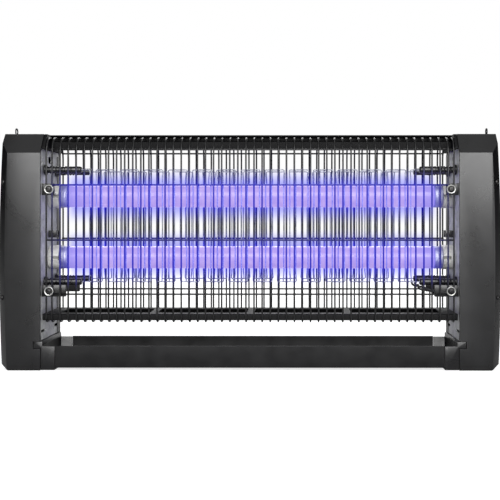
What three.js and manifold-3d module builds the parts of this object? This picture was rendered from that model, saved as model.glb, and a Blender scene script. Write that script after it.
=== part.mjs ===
// Electric bug zapper: two T8 black-light lamps and four high-voltage electrodes in a wire cage,
// held between two moulded end housings, with an insect tray that slides out underneath.
//
// Millimetres. +X right, +Y to the rear, +Z up. The origin is on the floor, midway between
// the housings and midway between their front and rear faces. The right-hand side is drawn,
// and the left-hand side is its mirror image.

import * as THREE from 'three';
import { mergeVertices } from 'three/addons/utils/BufferGeometryUtils.js';
import Module from 'manifold-3d';

const wasm = await Module();
wasm.setup();

// ---------------------------------------------------------------- driving dimensions

const GAP = 0.3;                  // between pieces that touch
const RUNNING_GAP = 0.4;          // round pieces that turn or slide
const CUT = 1;                    // how far a cutting tool runs past the surface it opens

// Overall
const DEPTH = 90;                 // housings, front face to rear face
const HEIGHT = 262;               // housings, floor to top
const HOUSING_WIDTH = 47.5;       // housing, mouth to the crown of its outer side

// Lamp, T8, 15 W, with G13 caps
const LAMP_LENGTH = 437.4;        // cap face to cap face
const LAMP_RADIUS = 13;
const GLASS_STEP = 0.3;           // glass, in from the caps' radius
const GLASS_WALL = 0.8;
const CAP_LENGTH = 9.4;
const CAP_WALL = 0.8;
const CAP_FACE = 1.6;
const PIN_RADIUS = 1.2;
const PIN_SPACING = 12.7;
const PIN_LENGTH = 7.1;
const LOWER_LAMP_Z = 122.6;
const UPPER_LAMP_DROP = 69.3;     // housing top down to the upper lamp's axis

// Lampholders
const HOLDER_DEPTH = 12.3;
const HOLDER_RIM = 0.6;           // holder's round front, beyond the lamp's radius
const HOLDER_BACK = 16;           // lamp axis to the holder's square rear
const ROTOR_RADIUS = 8.6;
const ROTOR_WEB = 0.9;

// Housing moulding
const WALL = 2.5;
const ARC_RADIUS = 2500;          // outer side, seen from the front
const ARC_HEIGHT = 118;           // where the outer side is widest
const EDGE_BEVEL = 8;             // front and rear outer edges
const TOP_CHAMFER_RUN = 16;       // front and rear top edges, front to back
const TOP_CHAMFER_RISE = 22;      // the same, upwards
const CORNER_RUN = 9;             // bottom outer corner, sideways
const CORNER_RISE = 6;            // bottom outer corner, upwards
const MOUTH_RECESS = 0.6;         // side plate, in from the housing's mouth
const PLATE_THICKNESS = 1.5;

// Tray and its grooves
const GROOVE_BOTTOM = 24;
const GROOVE_TOP = 32;
const GROOVE_DEPTH = 8;
const GUIDE_RIB = 2.5;
const TRAY_REAR_INSET = 5;        // tray's rear wall, in from the housings' rear face
const TRAY_TOP = 27;
const TRAY_FLOOR = 2.8;           // underside of the tray's floor
const TRAY_SHEET = 1.5;
const END_CAP_WIDTH = 15.6;
const END_CAP_TOP = 26.5;
const END_CAP_LIFT = 0.5;         // end cap, above the ground
const END_CAP_WALL = 2;

// Wire guards
const WIRE = 1.9;
const GUARD_INSET = 7;            // guard's plane, in from the housings' face
const GUARD_PITCH = 9;            // nominal, evened out over the span
const OUTER_WIRE_STEP = 6.3;      // outermost wire to its neighbour
const OUTER_WIRE_INSET = 5;       // outermost wire, in from the housing's mouth
const RAIL_DROPS = [18, 57.2];    // cross wires, down from the housing's top
const RAIL_HEIGHTS = [143.5, 83.4];
const WELD_DEPTH = 0.3;
const FOOT_CLEARANCE = 0.65;      // wires' turned-in feet, below the bottom plate's flanges
const FOOT_LENGTH = 11;
const HOOK_START_DROP = 17;       // where the wires leave the vertical, below the top
const HOOK_TOP_DROP = 5;
const HOOK_END_DROP = 3.6;
const HOOK_STEP = 8;              // first slanted stretch, inwards
const HOOK_END_Y = 8;             // hook tips, from the middle of the rail

// Guard screws and the lugs that take them
const SCREW_RADIUS = 1.7;
const SCREW_HEAD_RADIUS = 3.1;
const SCREW_HEAD = 2.6;
const WASHER_RADIUS = 5.2;
const WASHER = 1.2;
const UPPER_SCREW_DROP = 62;      // housing top down to the upper screws
const LOWER_SCREW_Z = 87;
const LUG_THICKNESS = 3.3;
const LUG_HALF_HEIGHT = 6.5;
const UPPER_LUG_REACH = 13;       // lug, out from the housing's mouth
const LOWER_LUG_REACH = 26;
const LUG_ROOT = 4;

// Top rail
const SHEET = 1.5;
const RAIL_STRIP = 13;            // half the width of its top strip, behind the hooks
const RAIL_NECK = 5;              // half widths of the rail's neck and beam
const RAIL_BEAM = 11;
const RAIL_NECK_DROP = 6.7;       // below the housing's top
const RAIL_BEAM_DROP = 15.5;
const GUSSET_DROP = 17.7;

// Bottom plate
const BOTTOM_PLATE_Z = 61.5;
const BOTTOM_FLANGE = 7.1;
const DROP_SLOTS = 4;
const DROP_SLOT_BRIDGE = 8;
const DROP_SLOT_HALF_WIDTH = 22;
const DROP_SLOT_MARGIN = 16;      // bottom plate's end to its first slot

// Electrodes and their insulators
const ELECTRODE_WIRE = 1.2;
const ELECTRODE_INSET = 20;       // electrode pair's plane, in from the housings' face
const ELECTRODE_STAGGER = 4;      // live electrode to earthed electrode, front to back
const ELECTRODE_BARS = 27;        // odd, so that a wire's two ends are at opposite levels
const ELECTRODE_MARGIN = 9.3;     // outermost bar, in from the insulators' tips
const ELECTRODE_TAIL = 5;
const UPPER_ARM_DROP = 40;
const LOWER_ARM_Z = 96.5;
const ARM_LENGTH = 41.8;
const ARM_RADIUS = 4.4;
const ARM_FLANGE_RADIUS = 6;
const ARM_FLANGE = 3;

// High-voltage leads
const LEAD_RADIUS = 1.25;
const LEAD_HOLE_RADIUS = 2;
const LEAD_HOLE_Y = 14;
const LEAD_HOLE_Z = 84;

// Hanging eyes
const EYE_CLEARANCE = 0.55;       // eye's shank to the inside of the outer wall
const EYE_WIRE_RADIUS = 0.75;
const EYE_HOLE_RADIUS = 3;
const EYE_SHANK_RADIUS = 1.3;
const EYE_SHANK_LENGTH = 8;

// Cover screws, on the housings' front bevels
const COVER_SCREW_DROP = 54;      // housing top down to the upper ones
const COVER_SCREW_Z = 80;
const COVER_SCREW_RADIUS = 1.3;
const COVER_SCREW_HEAD_RADIUS = 2.6;
const COVER_SCREW_HEAD = 1.4;
const COVER_SCREW_LENGTH = 8;

// Rear panel of the right housing: mains inlet and rocker switch
const PANEL_X = 20;               // panel's middle, out from the housing's mouth
const PANEL_PAD = 3;
const INLET_Z = 70;
const INLET = { width: 19.4, height: 27.4, flange: 2.3, depth: 21.5, wall: 1.5, cavity: 15.5 };
const BLADE = { width: 4, thickness: 2, length: 14, spacing: 7, offset: 2 };
const SWITCH_Z = 106;
const SWITCH = { width: 12.6, height: 18.6, flange: 1.2, depth: 17, wall: 1.3, cavity: 11 };
const PANEL_FLANGE = 1.5;
const ROCKER_TILT = 10;           // degrees each side of the middle
const ROCKER_PIVOT_DEPTH = 3.8;
const ROCKER = { edge: 2.3, dip: 1.1, skirt: 1.5, draft: 1, root: 3.5, rootHalf: 2 };
const TRUNNION_RADIUS = 1;
const TRUNNION_LENGTH = 0.8;

// Openings in the side plates
const PLATE_SLOT = { inset: 16, rise: 10, length: 20, width: 3.4 };
const WIRING_SLOT = { drop: 28, length: 16, width: 8 };
const PLATE_HOLE_RADIUS = 1.4;
const MIDDLE_HOLES = { inset: 15, steps: [0, 8, 16] };
const TOP_HOLES = { inset: 10, drops: [26, 32] };

// Wire clips on the side plates, between the lamps
const CLIP = { reach: 9, halfWidth: 9, halfHeight: 4, drop: 8, channelRadius: 3, channelInset: 7 };

// Modules inside the housings
const BALLAST = { thickness: 30, halfDepth: 19, bottom: 70, top: 190 };
const GENERATOR = { thickness: 28, halfDepth: 20, bottom: 130, top: 196 };

// ---------------------------------------------------------------- places that follow

const half = DEPTH / 2;
const lampFace = LAMP_LENGTH / 2;
const glassRadius = LAMP_RADIUS - GLASS_STEP;
const holderFace = lampFace + GAP;
const holderBack = holderFace + HOLDER_DEPTH;
const plateInner = holderBack + GAP;
const plateOuter = plateInner + PLATE_THICKNESS;
const mouth = plateInner - MOUTH_RECESS;
const crown = mouth + HOUSING_WIDTH;

const upperLampZ = HEIGHT - UPPER_LAMP_DROP;
const upperArmZ = HEIGHT - UPPER_ARM_DROP;
const upperScrewZ = HEIGHT - UPPER_SCREW_DROP;
const middleZ = (LOWER_LAMP_Z + upperLampZ) / 2;
const coverScrewHeights = { upper: HEIGHT - COVER_SCREW_DROP, lower: COVER_SCREW_Z };
const eyeX = crown - bulge(HEIGHT) - WALL - EYE_CLEARANCE - EYE_SHANK_RADIUS;

const guardY = half - GUARD_INSET;
const outerWireX = mouth - OUTER_WIRE_INSET;
const evenWireX = outerWireX - OUTER_WIRE_STEP;
const guardSpaces = Math.round(2 * evenWireX / GUARD_PITCH);
const guardFoot = BOTTOM_PLATE_Z - BOTTOM_FLANGE - FOOT_CLEARANCE - WIRE / 2;
const crossWireY = guardY - WIRE + WELD_DEPTH;
const lugFront = crossWireY - WIRE / 2 - GAP;
const lugBack = lugFront - LUG_THICKNESS;
const guardScrewX = outerWireX - OUTER_WIRE_STEP / 2;

const armTip = holderBack - ARM_LENGTH;
const electrodeY = half - ELECTRODE_INSET;
const liveY = electrodeY + ELECTRODE_STAGGER / 2;
const earthY = electrodeY - ELECTRODE_STAGGER / 2;
const electrodeStart = ELECTRODE_MARGIN - armTip;
const electrodePitch = -2 * electrodeStart / (ELECTRODE_BARS - 0.5);
const gussetTopHalf = half - TOP_CHAMFER_RUN;
const trayRear = half - TRAY_REAR_INSET;
const trayEnd = mouth - RUNNING_GAP;
const capInner = trayEnd - END_CAP_WIDTH;
const panelX = mouth + PANEL_X;

const lugs = [
  { z: upperScrewZ, reach: UPPER_LUG_REACH },
  { z: LOWER_SCREW_Z, reach: LOWER_LUG_REACH },
];

// How far the outer side has curved in from its crown at height z.
function bulge(z) {
  return (z - ARC_HEIGHT) ** 2 / (2 * ARC_RADIUS);
}

// ---------------------------------------------------------------- solids from geometry

// A closed three.js geometry as a solid that can be joined and cut.
function solid(geometry) {
  geometry.deleteAttribute('normal');
  geometry.deleteAttribute('uv');
  const merged = mergeVertices(geometry, 1e-4);
  const triVerts = [];
  for (let i = 0; i < merged.index.count; i += 3) {
    const [a, b, c] = [0, 1, 2].map((k) => merged.index.getX(i + k));
    if (a !== b && b !== c && c !== a) triVerts.push(a, b, c);
  }
  return new wasm.Manifold(new wasm.Mesh({
    numProp: 3,
    vertProperties: new Float32Array(merged.attributes.position.array),
    triVerts: new Uint32Array(triVerts),
  }));
}

// A solid back as a three.js geometry.
function surface(body) {
  const { vertProperties, triVerts } = body.getMesh();
  const geometry = new THREE.BufferGeometry();
  geometry.setAttribute('position', new THREE.BufferAttribute(vertProperties, 3));
  geometry.setIndex(new THREE.BufferAttribute(triVerts, 1));
  geometry.computeVertexNormals();
  return geometry;
}

function joinAll(bodies) {
  return bodies.reduce((whole, body) => whole.add(body));
}

function cutAll(body, tools) {
  return tools.reduce((rest, tool) => rest.subtract(tool), body);
}

function box(x0, x1, y0, y1, z0, z1) {
  const geometry = new THREE.BoxGeometry(x1 - x0, y1 - y0, z1 - z0);
  geometry.translate((x0 + x1) / 2, (y0 + y1) / 2, (z0 + z1) / 2);
  return solid(geometry);
}

const turnTo = {
  x: new THREE.Matrix4().makeRotationZ(-Math.PI / 2),
  y: new THREE.Matrix4(),
  z: new THREE.Matrix4().makeRotationX(Math.PI / 2),
};

// A round bar along one axis; centre holds the other two coordinates.
function rod(axis, radius, from, to, centre, sides = 12) {
  const geometry = new THREE.CylinderGeometry(radius, radius, to - from, sides);
  geometry.applyMatrix4(turnTo[axis]);
  const place = { x: 0, y: 0, z: 0, ...centre, [axis]: (from + to) / 2 };
  geometry.translate(place.x, place.y, place.z);
  return solid(geometry);
}

// A turned piece: profile is a list of [radius, height], from the axis back to the axis.
function turned(axis, profile, centre, sides = 12) {
  const points = profile.map(([radius, height]) => new THREE.Vector2(radius, height));
  const geometry = new THREE.LatheGeometry(points, sides);
  geometry.applyMatrix4(turnTo[axis]);
  const place = { x: 0, y: 0, z: 0, ...centre };
  geometry.translate(place.x, place.y, place.z);
  return solid(geometry);
}

function outline(points) {
  return new THREE.Shape(points.map(([u, v]) => new THREE.Vector2(u, v)));
}

// An outline drawn in Y and Z, extruded along X.
function prismX(shape, from, to, curveSegments = 6) {
  const settings = { depth: to - from, bevelEnabled: false, curveSegments };
  const geometry = new THREE.ExtrudeGeometry(shape, settings);
  geometry.applyMatrix4(new THREE.Matrix4().makeBasis(
    new THREE.Vector3(0, 1, 0), new THREE.Vector3(0, 0, 1), new THREE.Vector3(1, 0, 0)));
  geometry.translate(from, 0, 0);
  return solid(geometry);
}

// An outline drawn in X and Z, extruded along Y, with bevelled ends if asked.
function prismY(shape, from, to, bevel = 0) {
  const geometry = new THREE.ExtrudeGeometry(shape, {
    depth: to - from - 2 * bevel,
    bevelEnabled: bevel > 0,
    bevelThickness: bevel,
    bevelSize: bevel,
    bevelOffset: -bevel,
    bevelSegments: 1,
    curveSegments: 8,
  });
  geometry.applyMatrix4(new THREE.Matrix4().makeBasis(
    new THREE.Vector3(1, 0, 0), new THREE.Vector3(0, 0, 1), new THREE.Vector3(0, -1, 0)));
  geometry.translate(0, to - bevel, 0);
  return solid(geometry);
}

// The outline of a strip of even width along a line of points, with mitred corners.
function strip(points, width) {
  const line = points.map(([u, v]) => new THREE.Vector2(u, v));
  const steps = line.slice(1).map((point, i) => point.clone().sub(line[i]).normalize());
  const sideways = line.map((point, i) => {
    const before = steps[Math.max(i - 1, 0)];
    const after = steps[Math.min(i, steps.length - 1)];
    const mitre = new THREE.Vector2(-before.y - after.y, before.x + after.x);
    return mitre.multiplyScalar(width / 2 / (1 + before.dot(after)));
  });
  const left = line.map((point, i) => point.clone().add(sideways[i]));
  const right = line.map((point, i) => point.clone().sub(sideways[i]));
  return new THREE.Shape([...left, ...right.reverse()]);
}

// ---------------------------------------------------------------- end housings

// The housing's outer form, moved in by inset all round except at the open mouth.
function housingForm(inset) {
  const easing = inset * (2 - Math.SQRT2);
  const centreX = crown - ARC_RADIUS;
  const radius = ARC_RADIUS - inset;
  const reach = Math.asin(HEIGHT / ARC_RADIUS);
  // A blade whose curved edge is the housing's outer side.
  const side = new THREE.Shape();
  side.moveTo(crown - ARC_RADIUS / 4, ARC_HEIGHT);
  side.lineTo(crown - ARC_RADIUS / 8, ARC_HEIGHT - HEIGHT);
  side.absarc(centreX, ARC_HEIGHT, radius, -reach, reach, false);
  side.lineTo(crown - ARC_RADIUS / 8, ARC_HEIGHT + HEIGHT);
  const curved = prismY(side, inset - half, half - inset, EDGE_BEVEL - easing);

  const slope = Math.atan2(CORNER_RISE, CORNER_RUN);
  const cornerX = crown - bulge(0) - CORNER_RUN - inset * Math.tan(slope / 2);
  const top = HEIGHT - inset;
  const start = mouth - (inset > 0 ? CUT : 0);
  const front = prismY(outline([
    [start, inset],
    [cornerX, inset],
    [cornerX + 3 * CORNER_RUN, inset + 3 * CORNER_RISE],
    [cornerX + 3 * CORNER_RUN, top],
    [start, top],
  ]), -half, half);

  const back = half - inset;
  const slant = Math.hypot(TOP_CHAMFER_RUN, TOP_CHAMFER_RISE);
  const run = TOP_CHAMFER_RUN - inset * (1 - (slant - TOP_CHAMFER_RUN) / TOP_CHAMFER_RISE);
  const rise = TOP_CHAMFER_RISE - inset * (1 - (slant - TOP_CHAMFER_RISE) / TOP_CHAMFER_RUN);
  const section = prismX(outline([
    [-back, inset],
    [back, inset],
    [back, top - rise],
    [back - run, top],
    [run - back, top],
    [-back, top - rise],
  ]), start, crown);
  return curved.intersect(front).intersect(section);
}

function lugBox(lug, side, spare) {
  const y0 = Math.min(side * lugFront, side * lugBack);
  const y1 = Math.max(side * lugFront, side * lugBack);
  return box(mouth - lug.reach, plateOuter + GAP + LUG_ROOT, y0 - spare, y1 + spare,
    lug.z - LUG_HALF_HEIGHT - spare, lug.z + LUG_HALF_HEIGHT + spare);
}

// The lug's root, which ties it to the housing's front or rear wall behind the side plate.
function lugRoot(lug, side) {
  const wallFace = side * (half - WALL / 2);
  const y0 = Math.min(wallFace, side * lugBack);
  const y1 = Math.max(wallFace, side * lugBack);
  return box(plateOuter + GAP, plateOuter + GAP + LUG_ROOT, y0, y1,
    lug.z - LUG_HALF_HEIGHT, lug.z + LUG_HALF_HEIGHT);
}

// A solid drawn about the Y axis, turned to stand square on the front bevel at height z.
function ontoBevel(geometry, z) {
  geometry.rotateZ(Math.PI / 4);
  geometry.translate(crown - bulge(z) - EDGE_BEVEL / 2, EDGE_BEVEL / 2 - half, z);
  return solid(geometry);
}

function housing(hasPanel) {
  const inside = housingForm(WALL);
  const far = crown + CUT;
  const guideTop = GROOVE_TOP + GUIDE_RIB;
  const guideBack = mouth + GROOVE_DEPTH + GUIDE_RIB;
  const cuts = [
    inside.intersect(box(mouth - CUT, far, -half, half, guideTop, HEIGHT)),
    inside.intersect(box(mouth + WALL, far, -half, half, 0, GROOVE_BOTTOM - GUIDE_RIB)),
    inside.intersect(box(guideBack, far, -half, half, 0, guideTop + CUT)),
    box(mouth - CUT, plateOuter + GAP, WALL - half, half - WALL, GROOVE_TOP, guideTop + CUT),
    box(mouth - CUT, mouth + GROOVE_DEPTH, -half - CUT, trayRear + CUT, GROOVE_BOTTOM, GROOVE_TOP),
  ];
  let body = cutAll(housingForm(0), cuts);
  for (const lug of lugs) {
    for (const side of [-1, 1]) {
      body = body.add(lugBox(lug, side, 0)).add(lugRoot(lug, side));
    }
  }
  if (hasPanel) {
    const padHalf = INLET.width / 2 + INLET.flange + GUIDE_RIB;
    const padTop = SWITCH_Z + SWITCH.height / 2 + SWITCH.flange + GUIDE_RIB;
    const padBottom = INLET_Z - INLET.height / 2 - INLET.flange - GUIDE_RIB;
    const pad = box(panelX - padHalf, panelX + padHalf, half - WALL - PANEL_PAD, half - WALL / 2,
      padBottom, padTop);
    body = body.add(pad);
    body = cutAll(body, [...panelCutter(INLET, INLET_Z), ...panelCutter(SWITCH, SWITCH_Z)]);
  }
  const holes = [];
  for (const lug of lugs) {
    holes.push(rod('y', SCREW_RADIUS + RUNNING_GAP, -half + WALL + CUT, half - WALL - CUT,
      { x: guardScrewX, z: lug.z }, 10));
  }
  holes.push(rod('z', EYE_SHANK_RADIUS + RUNNING_GAP, HEIGHT - WALL - CUT, HEIGHT + CUT,
    { x: eyeX, y: 0 }, 10));
  for (const z of Object.values(coverScrewHeights)) {
    const bore = new THREE.CylinderGeometry(
      COVER_SCREW_RADIUS + RUNNING_GAP, COVER_SCREW_RADIUS + RUNNING_GAP, 2 * (WALL + CUT), 10);
    holes.push(ontoBevel(bore, z));
  }
  return cutAll(body, holes);
}

// The pocket for a panel fitting's flange and the opening for its body.
function panelCutter(fitting, z) {
  const w = fitting.width / 2 + GAP;
  const h = fitting.height / 2 + GAP;
  const lip = fitting.flange;
  const pocketFloor = half - PANEL_FLANGE - GAP;
  return [
    box(panelX - w - lip, panelX + w + lip, pocketFloor, half + CUT, z - h - lip, z + h + lip),
    box(panelX - w, panelX + w, half - WALL - PANEL_PAD - CUT, half + CUT, z - h, z + h),
  ];
}

// ---------------------------------------------------------------- side plates

// A slot with round ends that runs along Y.
function slotAlongY(y, z, length, width) {
  const end = (length - width) / 2;
  const shape = new THREE.Shape();
  shape.absarc(y + end, z, width / 2, -Math.PI / 2, Math.PI / 2, false);
  shape.absarc(y - end, z, width / 2, Math.PI / 2, Math.PI * 1.5, false);
  return prismX(shape, plateInner - CUT, plateOuter + CUT, 4);
}

function sidePlate() {
  const sheet = housingForm(WALL + GAP)
    .intersect(box(plateInner, plateOuter, -half, half, GROOVE_TOP + GAP, HEIGHT));
  const cuts = [];
  for (const lug of lugs) {
    for (const side of [-1, 1]) cuts.push(lugBox(lug, side, GAP));
  }
  const from = plateInner - CUT;
  const to = plateOuter + CUT;
  const hole = (radius, y, z, sides) => rod('x', radius, from, to, { y, z }, sides);
  for (const side of [-1, 1]) {
    cuts.push(hole(LEAD_HOLE_RADIUS, side * LEAD_HOLE_Y, LEAD_HOLE_Z, 10));
    cuts.push(slotAlongY(side * (half - PLATE_SLOT.inset), GROOVE_TOP + PLATE_SLOT.rise,
      PLATE_SLOT.length, PLATE_SLOT.width));
    for (const step of MIDDLE_HOLES.steps) {
      cuts.push(hole(PLATE_HOLE_RADIUS, side * (half - MIDDLE_HOLES.inset), middleZ + step, 6));
    }
    for (const drop of TOP_HOLES.drops) {
      cuts.push(hole(PLATE_HOLE_RADIUS, side * (half - TOP_HOLES.inset), HEIGHT - drop, 6));
    }
  }
  cuts.push(slotAlongY(0, HEIGHT - WIRING_SLOT.drop, WIRING_SLOT.length, WIRING_SLOT.width));
  return cutAll(sheet, cuts);
}

// ---------------------------------------------------------------- top rail and bottom plate

function topRail() {
  const neck = HEIGHT - RAIL_NECK_DROP;
  const beam = HEIGHT - RAIL_BEAM_DROP;
  const under = HEIGHT - SHEET;
  const side = [
    [RAIL_STRIP, HEIGHT],
    [RAIL_STRIP, under],
    [RAIL_NECK, under],
    [RAIL_NECK, neck],
    [RAIL_BEAM, neck],
    [RAIL_BEAM, beam],
    [RAIL_BEAM - SHEET, beam],
    [RAIL_BEAM - SHEET, neck - SHEET],
    [RAIL_NECK - SHEET, neck - SHEET],
    [RAIL_NECK - SHEET, under],
  ];
  const mirrored = side.map(([y, z]) => [-y, z]).reverse();
  const end = mouth - GAP;
  const rail = prismX(outline([...side, ...mirrored]), -end, end);

  // The gussets fill the corner between the housings' top chamfers and the guards.
  const shoulder = guardY + WIRE / 2;
  const shoulderTop = under - (shoulder - gussetTopHalf) * TOP_CHAMFER_RISE / TOP_CHAMFER_RUN;
  const gusset = outline([
    [-shoulder, HEIGHT - GUSSET_DROP],
    [shoulder, HEIGHT - GUSSET_DROP],
    [shoulder, shoulderTop],
    [gussetTopHalf, under],
    [gussetTopHalf, HEIGHT],
    [-gussetTopHalf, HEIGHT],
    [-gussetTopHalf, under],
    [-shoulder, shoulderTop],
  ]);
  const gussetStart = outerWireX + WIRE / 2 + GAP;
  return rail.add(prismX(gusset, gussetStart, end)).add(prismX(gusset, -end, -gussetStart));
}

function bottomPlate() {
  const flangeY = guardY - WIRE / 2 - GAP - SHEET / 2;
  const sheetZ = BOTTOM_PLATE_Z - SHEET / 2;
  const foot = BOTTOM_PLATE_Z - BOTTOM_FLANGE;
  const end = mouth - GAP;
  const section = strip([[-flangeY, foot], [-flangeY, sheetZ], [flangeY, sheetZ], [flangeY, foot]], SHEET);
  const channel = prismX(section, -end, end);
  const span = 2 * (end - DROP_SLOT_MARGIN);
  const pitch = (span + DROP_SLOT_BRIDGE) / DROP_SLOTS;
  const slots = [];
  for (let i = 0; i < DROP_SLOTS; i += 1) {
    const start = i * pitch - span / 2;
    slots.push(box(start, start + pitch - DROP_SLOT_BRIDGE,
      -DROP_SLOT_HALF_WIDTH, DROP_SLOT_HALF_WIDTH, sheetZ - SHEET, BOTTOM_PLATE_Z + CUT));
  }
  return cutAll(channel, slots);
}

// ---------------------------------------------------------------- wire guards

// The front guard. Its wires hook into the rail's groove and turn in under the bottom plate.
function wireGuard() {
  const bends = strip([
    [FOOT_LENGTH - guardY, guardFoot],
    [-guardY, guardFoot],
    [-guardY, HEIGHT - HOOK_START_DROP],
    [HOOK_STEP - guardY, HEIGHT - HOOK_TOP_DROP],
    [-HOOK_END_Y, HEIGHT - HOOK_END_DROP],
  ], WIRE);
  const places = [-outerWireX, outerWireX];
  for (let i = 0; i <= guardSpaces; i += 1) {
    places.push((2 * i / guardSpaces - 1) * evenWireX);
  }
  const uprights = places.map((x) => prismX(bends, x - WIRE / 2, x + WIRE / 2));
  const heights = [...RAIL_DROPS.map((drop) => HEIGHT - drop), ...RAIL_HEIGHTS];
  const reach = outerWireX + WIRE / 2;
  const crossWires = heights.map((z) => rod('x', WIRE / 2, -reach, reach, { y: -crossWireY, z }, 4));
  return joinAll([...crossWires, ...uprights]);
}

function guardScrew() {
  const seat = guardY + WIRE / 2 + GAP;
  return turned('y', [
    [0, -seat - WASHER - SCREW_HEAD],
    [SCREW_HEAD_RADIUS * 0.7, -seat - WASHER - SCREW_HEAD],
    [SCREW_HEAD_RADIUS, -seat - WASHER - SCREW_HEAD * 0.5],
    [SCREW_HEAD_RADIUS, -seat - WASHER],
    [WASHER_RADIUS, -seat - WASHER],
    [WASHER_RADIUS, -seat],
    [SCREW_RADIUS, -seat],
    [SCREW_RADIUS, -lugBack + GAP],
    [0, -lugBack + GAP],
  ], {}, 10);
}

// ---------------------------------------------------------------- electrodes and insulators

// One electrode: a wire bent to and fro, whose ends run into two insulator tips.
function electrode(startX, live) {
  const top = upperArmZ;
  const bottom = LOWER_ARM_Z;
  const tail = armTip + ELECTRODE_TAIL;
  const heights = live ? [top, bottom] : [bottom, top];
  const points = [[-tail, heights[0]]];
  for (let i = 0; i < ELECTRODE_BARS; i += 1) {
    const x = startX + i * electrodePitch;
    points.push([x, heights[i % 2]], [x, heights[(i + 1) % 2]]);
  }
  points.push([tail, heights[ELECTRODE_BARS % 2]]);
  const y = live ? -liveY : -earthY;
  return prismY(strip(points, ELECTRODE_WIRE), y - ELECTRODE_WIRE / 2, y + ELECTRODE_WIRE / 2);
}

// An insulator arm of the front pair; liveTail says which electrode's end it holds.
function insulator(z, liveTail) {
  const base = holderBack;
  const arm = turned('x', [
    [0, armTip],
    [ARM_RADIUS, armTip],
    [ARM_RADIUS, base - ARM_FLANGE],
    [ARM_FLANGE_RADIUS, base - ARM_FLANGE],
    [ARM_FLANGE_RADIUS, base],
    [0, base],
  ], { y: -electrodeY, z });
  const y = liveTail ? -liveY : -earthY;
  const reach = ELECTRODE_WIRE / 2 + GAP;
  const socket = box(armTip - CUT, armTip + ELECTRODE_TAIL + GAP,
    y - reach, y + reach, z - reach, z + reach);
  return arm.subtract(socket);
}

// The front high-voltage lead: down from the generator, through the hole in the side plate, and up
// to the live electrode's end. Its points are set from the hole and from the insulator's tip.
function lead() {
  const fromHole = (x, y, z) => new THREE.Vector3(plateInner + x, y - LEAD_HOLE_Y, z + LEAD_HOLE_Z);
  const fromTip = (x, y, z) => new THREE.Vector3(armTip + x, y - liveY, z + LOWER_ARM_Z);
  const route = new THREE.CatmullRomCurve3([
    fromHole(8.4, 4, GENERATOR.bottom - 2 * GAP - LEAD_HOLE_Z),
    fromHole(9.4, 3, 32),
    fromHole(9.4, 1, 13),
    fromHole(8.4, 0, 4),
    fromHole(4.9, 0, 0.4),
    fromHole(0.7, 0, 0),
    fromHole(-4.6, -0.5, -0.5),
    fromHole(-12.6, -3, -2),
    fromTip(20.5, 6.5, -14),
    fromTip(12.5, 3, -10.5),
    fromTip(5.5, 0.5, -9),
    fromTip(-0.5, 0, -7.2),
    fromTip(-2.3, 0, -2.3),
  ]);
  const section = new THREE.Shape();
  section.absarc(0, 0, LEAD_RADIUS, 0, Math.PI * 2, false);
  return solid(new THREE.ExtrudeGeometry(section, { steps: 20, extrudePath: route, curveSegments: 4 }));
}

function wireClip() {
  const z = middleZ - CLIP.drop;
  const body = box(holderBack - CLIP.reach, holderBack, -CLIP.halfWidth, CLIP.halfWidth,
    z - CLIP.halfHeight, z + CLIP.halfHeight);
  const channel = rod('z', CLIP.channelRadius, z - CLIP.halfHeight - CUT, z + CLIP.halfHeight + CUT,
    { x: holderBack - CLIP.channelInset, y: 0 }, 10);
  return body.subtract(channel);
}

// ---------------------------------------------------------------- lamps and lampholders

function lampGlass() {
  const length = lampFace - CAP_LENGTH - GAP;
  const bore = glassRadius - GLASS_WALL;
  return turned('x', [
    [bore, -length],
    [glassRadius, -length],
    [glassRadius, length],
    [bore, length],
    [bore, -length],
  ], {}, 24);
}

function lampCap() {
  const rim = lampFace - CAP_LENGTH;
  const shell = turned('x', [
    [0, lampFace - CAP_FACE],
    [LAMP_RADIUS - CAP_WALL, lampFace - CAP_FACE],
    [LAMP_RADIUS - CAP_WALL, rim],
    [LAMP_RADIUS, rim],
    [LAMP_RADIUS, lampFace],
    [0, lampFace],
  ], {}, 20);
  const pins = [-1, 1].map((side) => rod('x', PIN_RADIUS,
    lampFace - CAP_FACE / 2, lampFace + PIN_LENGTH, { y: 0, z: side * PIN_SPACING / 2 }, 8));
  return joinAll([shell, ...pins]);
}

function rotor() {
  const start = holderFace + GAP;
  const slotEnd = lampFace + PIN_LENGTH + RUNNING_GAP;
  const disc = rod('x', ROTOR_RADIUS, start, slotEnd + ROTOR_WEB, {}, 16);
  const slotHalf = PIN_RADIUS + RUNNING_GAP;
  const slotReach = ROTOR_RADIUS + CUT;
  return disc.subtract(box(start - CUT, slotEnd, -slotHalf, slotHalf, -slotReach, slotReach));
}

function lampHolder() {
  const radius = LAMP_RADIUS + HOLDER_RIM;
  const shape = new THREE.Shape();
  shape.moveTo(HOLDER_BACK, -radius);
  shape.lineTo(HOLDER_BACK, radius);
  shape.absarc(0, 0, radius, Math.PI / 2, Math.PI * 1.5, false);
  const pocketEnd = lampFace + PIN_LENGTH + RUNNING_GAP + ROTOR_WEB + RUNNING_GAP;
  const entryHalf = PIN_RADIUS + RUNNING_GAP;
  return prismX(shape, holderFace, holderBack, 10)
    .subtract(rod('x', ROTOR_RADIUS + RUNNING_GAP, holderFace - CUT, pocketEnd, {}, 20))
    .subtract(box(holderFace - CUT, pocketEnd, -radius - CUT, 0, -entryHalf, entryHalf));
}

// ---------------------------------------------------------------- tray

function trayBody() {
  const front = TRAY_SHEET / 2 - half;
  const rear = trayRear - TRAY_SHEET / 2;
  const floor = TRAY_FLOOR + TRAY_SHEET / 2;
  const end = capInner - GAP;
  const section = strip([[front, TRAY_TOP], [front, floor], [rear, floor], [rear, TRAY_TOP]], TRAY_SHEET);
  return prismX(section, -end, end);
}

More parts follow.
